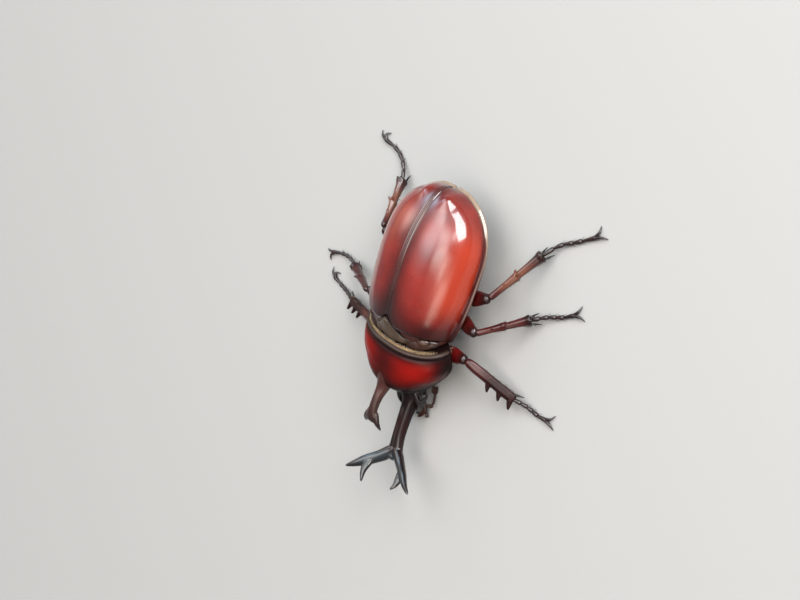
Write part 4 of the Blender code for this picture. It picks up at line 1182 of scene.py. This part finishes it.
def fringeMesh():
    # golden hairs from a narrow ribbon along the prothorax's hind edge
    grid, _ = prothoraxGrid()
    angles = np.linspace(fringe["from"], fringe["to"], fringe["columns"])
    columns = (angles / (2 * np.pi) * prothorax["columns"]).astype(int)
    share = np.linspace(0, 1, fringe["count"])
    line = smoothPath(grid[fringe["row"], columns] + (0, 0.05, -0.1), share)
    half = (pitched(zAxis) - prothorax["hinge"]) * fringe["width"] / 2
    index = np.arange(2 * len(line)).reshape(-1, 2)
    quads = cells(index[:, :1], index[:, 1:]).reshape(-1, 4)
    uv = np.stack([np.repeat(share, 2), np.tile([0.48, 0.52], len(line))], -1)
    points = np.stack([line - half, line + half], 1).reshape(-1, 3)
    skin = bpy.data.meshes.new("ribbon")
    skin.from_pydata(points.tolist(), [], quads.tolist())
    uv = uv[quads.ravel()].astype(np.float32)
    skin.uv_layers.new(name="skinUV").data.foreach_set("uv", uv.ravel())
    along = unit(np.gradient(np.repeat(line, 2, axis=0), axis=0) + 1e-9)
    thinned = ease(share, 0, 0.12) * (1 - ease(share, 0.88, 1))
    return coat(skin, "fringe", np.array([0, 0.9, -0.25]) + 0.5 * along, np.repeat(thinned, 2))


def makeHair(limbSkins):
    rowsOf = {"thorax": 60, "abdomen": 60, "pygidium": 24}
    skins = {name: tubeMesh(trunkGrid(name, rows)[0]) for name, rows in rowsOf.items()}
    skins.update(prothorax=tubeMesh(prothoraxGrid()[0]), pad=mouthPad())
    finishPiece("chestFringe", fringeMesh(), "hair", "underside")
    x, y, z = pointsOf(skins["thorax"]).T
    onChest = ease(8.2 - z, 0.2, 1.5) * (0.25 + 0.75 * ease(np.abs(x), 1.0, 4.5))
    x, y, z = pointsOf(skins["prothorax"]).T
    underNeck = ease(7.0 - z + 0.35 * (y + 4), 0.5, 2.5) * 0.7
    finishPiece("chestCoat", joined([
        coat(skins["thorax"], "chest", (0, 1, 0), onChest, (0, 4)),
        coat(skins["prothorax"], "chest", (0, 0.9, -0.2), underNeck, (1, 4))]), "hair", "underside")
    x, y, z = pointsOf(skins["abdomen"]).T
    rows = sum(bump(y, edge - 0.9, 0.45) for edge in trunk["segments"][1:])
    finishPiece("bellyCoat", joined([
        coat(skins["abdomen"], "belly", (0, 1, 0), ease(8.0 - z, 0.0, 1.2) * (0.12 + rows), (0, 2)),
        coat(skins["pygidium"], "belly", (0, 1, -0.3), 1.0, (1, 2))]), "hair", "underside")
    parts = []
    for k, (skin, along, end, under, (turned, start, stop)) in enumerate(limbSkins):
        points = pointsOf(skin)
        share = 1 + (points - end) @ along / np.ptp(points @ along)
        outward = unit(points - (end + (points - end) @ along[:, None] * along))
        density = ease(-(outward @ under), *turned) * ease(share, *start) * (1 - ease(share, *stop))
        parts.append(coat(skin, "legs", along * 0.7, density, (k, len(limbSkins))))
    finishPiece("legFringes", joined(parts), "darkHair", "leg")
    front = ease(-(pointsOf(skins["pad"]) - headPlace((0, -6.5, -2.7))) @ headTurn(yAxis), 0.0, 1.4)
    brush = coat(skins["pad"], "face", headTurn((0, -1, -0.1)), front)
    finishPiece("mouthBrush", brush, "hair", "mouth")


makeCases()
makeProthorax()
makeTrunk()
print("shell plates made")
makeHead()
print("head made")
legSkins = makeLegs()
print("legs made")
makeHair(legSkins)
print("hair made")

floor = {"reach": 3.0, "color": (0.2, 0.199, 0.194), "roughness": 0.85}
softbox = {"azimuth": 54, "elevation": 30, "distance": 0.6, "size": (0.5, 0.24), "watts": 8.0}
sky = (  # azimuth, elevation, width and strength of each soft patch of light, and its colour
    (-27, 35, 0.15, 6.0, (1.0, 0.86, 0.72)), (-14, 54, 0.17, 8.0, (1.0, 0.88, 0.76)),
    (0, 71, 0.17, 9.0, (1.0, 0.93, 0.86)), (55, 68, 0.22, 9.0, (1.0, 0.96, 0.92)),
    (108, 56, 0.26, 10.0, (1.0, 0.99, 0.97)), (150, 76, 0.24, 7.0, (0.96, 0.98, 1.0)),
    (168, 36, 0.16, 6.0, (1.0, 0.88, 0.8)), (138, 30, 0.2, 9.5, (0.5, 0.8, 1.0)),
    (38, 47, 0.15, 9.0, (1.0, 0.97, 0.95)),
    (176, 18, 0.2, 1.2, (1.0, 0.75, 0.45)),
)
roomLight = (0.3, 0.31, 0.33)
view = {  # place in mm from the anchor, and the directions of the picture's sides
    "place": (141.53, 76.67, 174.06), "lens": 50.0, "sensor": 36.0,
    "right": (0.6509, 0.2792, -0.7060), "up": (-0.4218, 0.9062, -0.0304),
}


def towards(azimuth, elevation):
    a, e = math.radians(azimuth), math.radians(elevation)
    return Vector((math.cos(a) * math.cos(e), math.sin(a) * math.cos(e), math.sin(e)))


def makeFloor():
    mesh = bpy.data.meshes.new("paleFloor")
    corners = ((-1, -1, 0), (1, -1, 0), (1, 1, 0), (-1, 1, 0))
    mesh.from_pydata([Vector(corner) * floor["reach"] for corner in corners], [], [(0, 1, 2, 3)])
    surface = bpy.data.materials.new("paleFloor")
    surface.use_nodes = True
    shader = surface.node_tree.nodes["Principled BSDF"]
    setSockets(surface.node_tree, shader, {"Base Color": floor["color"], "Roughness": floor["roughness"]})
    mesh.materials.append(surface)
    placed("paleFloor", mesh)


def makeSoftbox():
    light = bpy.data.lights.new("softbox", "AREA")
    light.shape, light.energy = "RECTANGLE", softbox["watts"]
    light.size, light.size_y = softbox["size"]
    lamp = placed("softbox", light)
    away = towards(softbox["azimuth"], softbox["elevation"])
    lamp.location = anchor + Vector((0, 10 * mm, 10 * mm)) + away * softbox["distance"]
    lamp.rotation_euler = away.to_track_quat("Z", "Y").to_euler()


def makeSky():
    # dim room with a few soft-edged panels of light
    world = bpy.data.worlds.new("studio")
    world.use_nodes = True
    tree = world.node_tree
    generated = out(addNode(tree, "ShaderNodeTexCoord"), "Generated")
    total = roomLight
    for azimuth, elevation, width, strength, color in sky:
        facing = vectorMath(tree, "DOT_PRODUCT", generated, towards(azimuth, elevation))
        fall = numberMath(tree, "MULTIPLY_ADD", out(facing, "Value"), 2 / width ** 2, -2 / width ** 2)
        tint = [share * strength for share in color]
        glow = vectorMath(tree, "SCALE", tint, Scale=numberMath(tree, "EXPONENT", fall))
        total = vectorMath(tree, "ADD", total, glow)
    setSockets(tree, tree.nodes["Background"], {"Color": total})
    bpy.context.scene.world = world


def makeCamera():
    data = bpy.data.cameras.new("camera")
    data.lens, data.sensor_width = view["lens"], view["sensor"]
    camera = placed("camera", data)
    right, up = Vector(view["right"]), Vector(view["up"])
    place = anchor + Vector(view["place"]) * mm
    turn = Matrix((right, up, right.cross(up))).transposed()
    camera.matrix_world = Matrix.Translation(place) @ turn.to_4x4()
    bpy.context.scene.camera = camera


makeFloor()
makeSoftbox()
makeSky()
bpy.context.scene.view_settings.view_transform = "Standard"
makeCamera()
print("stage, light and camera set")
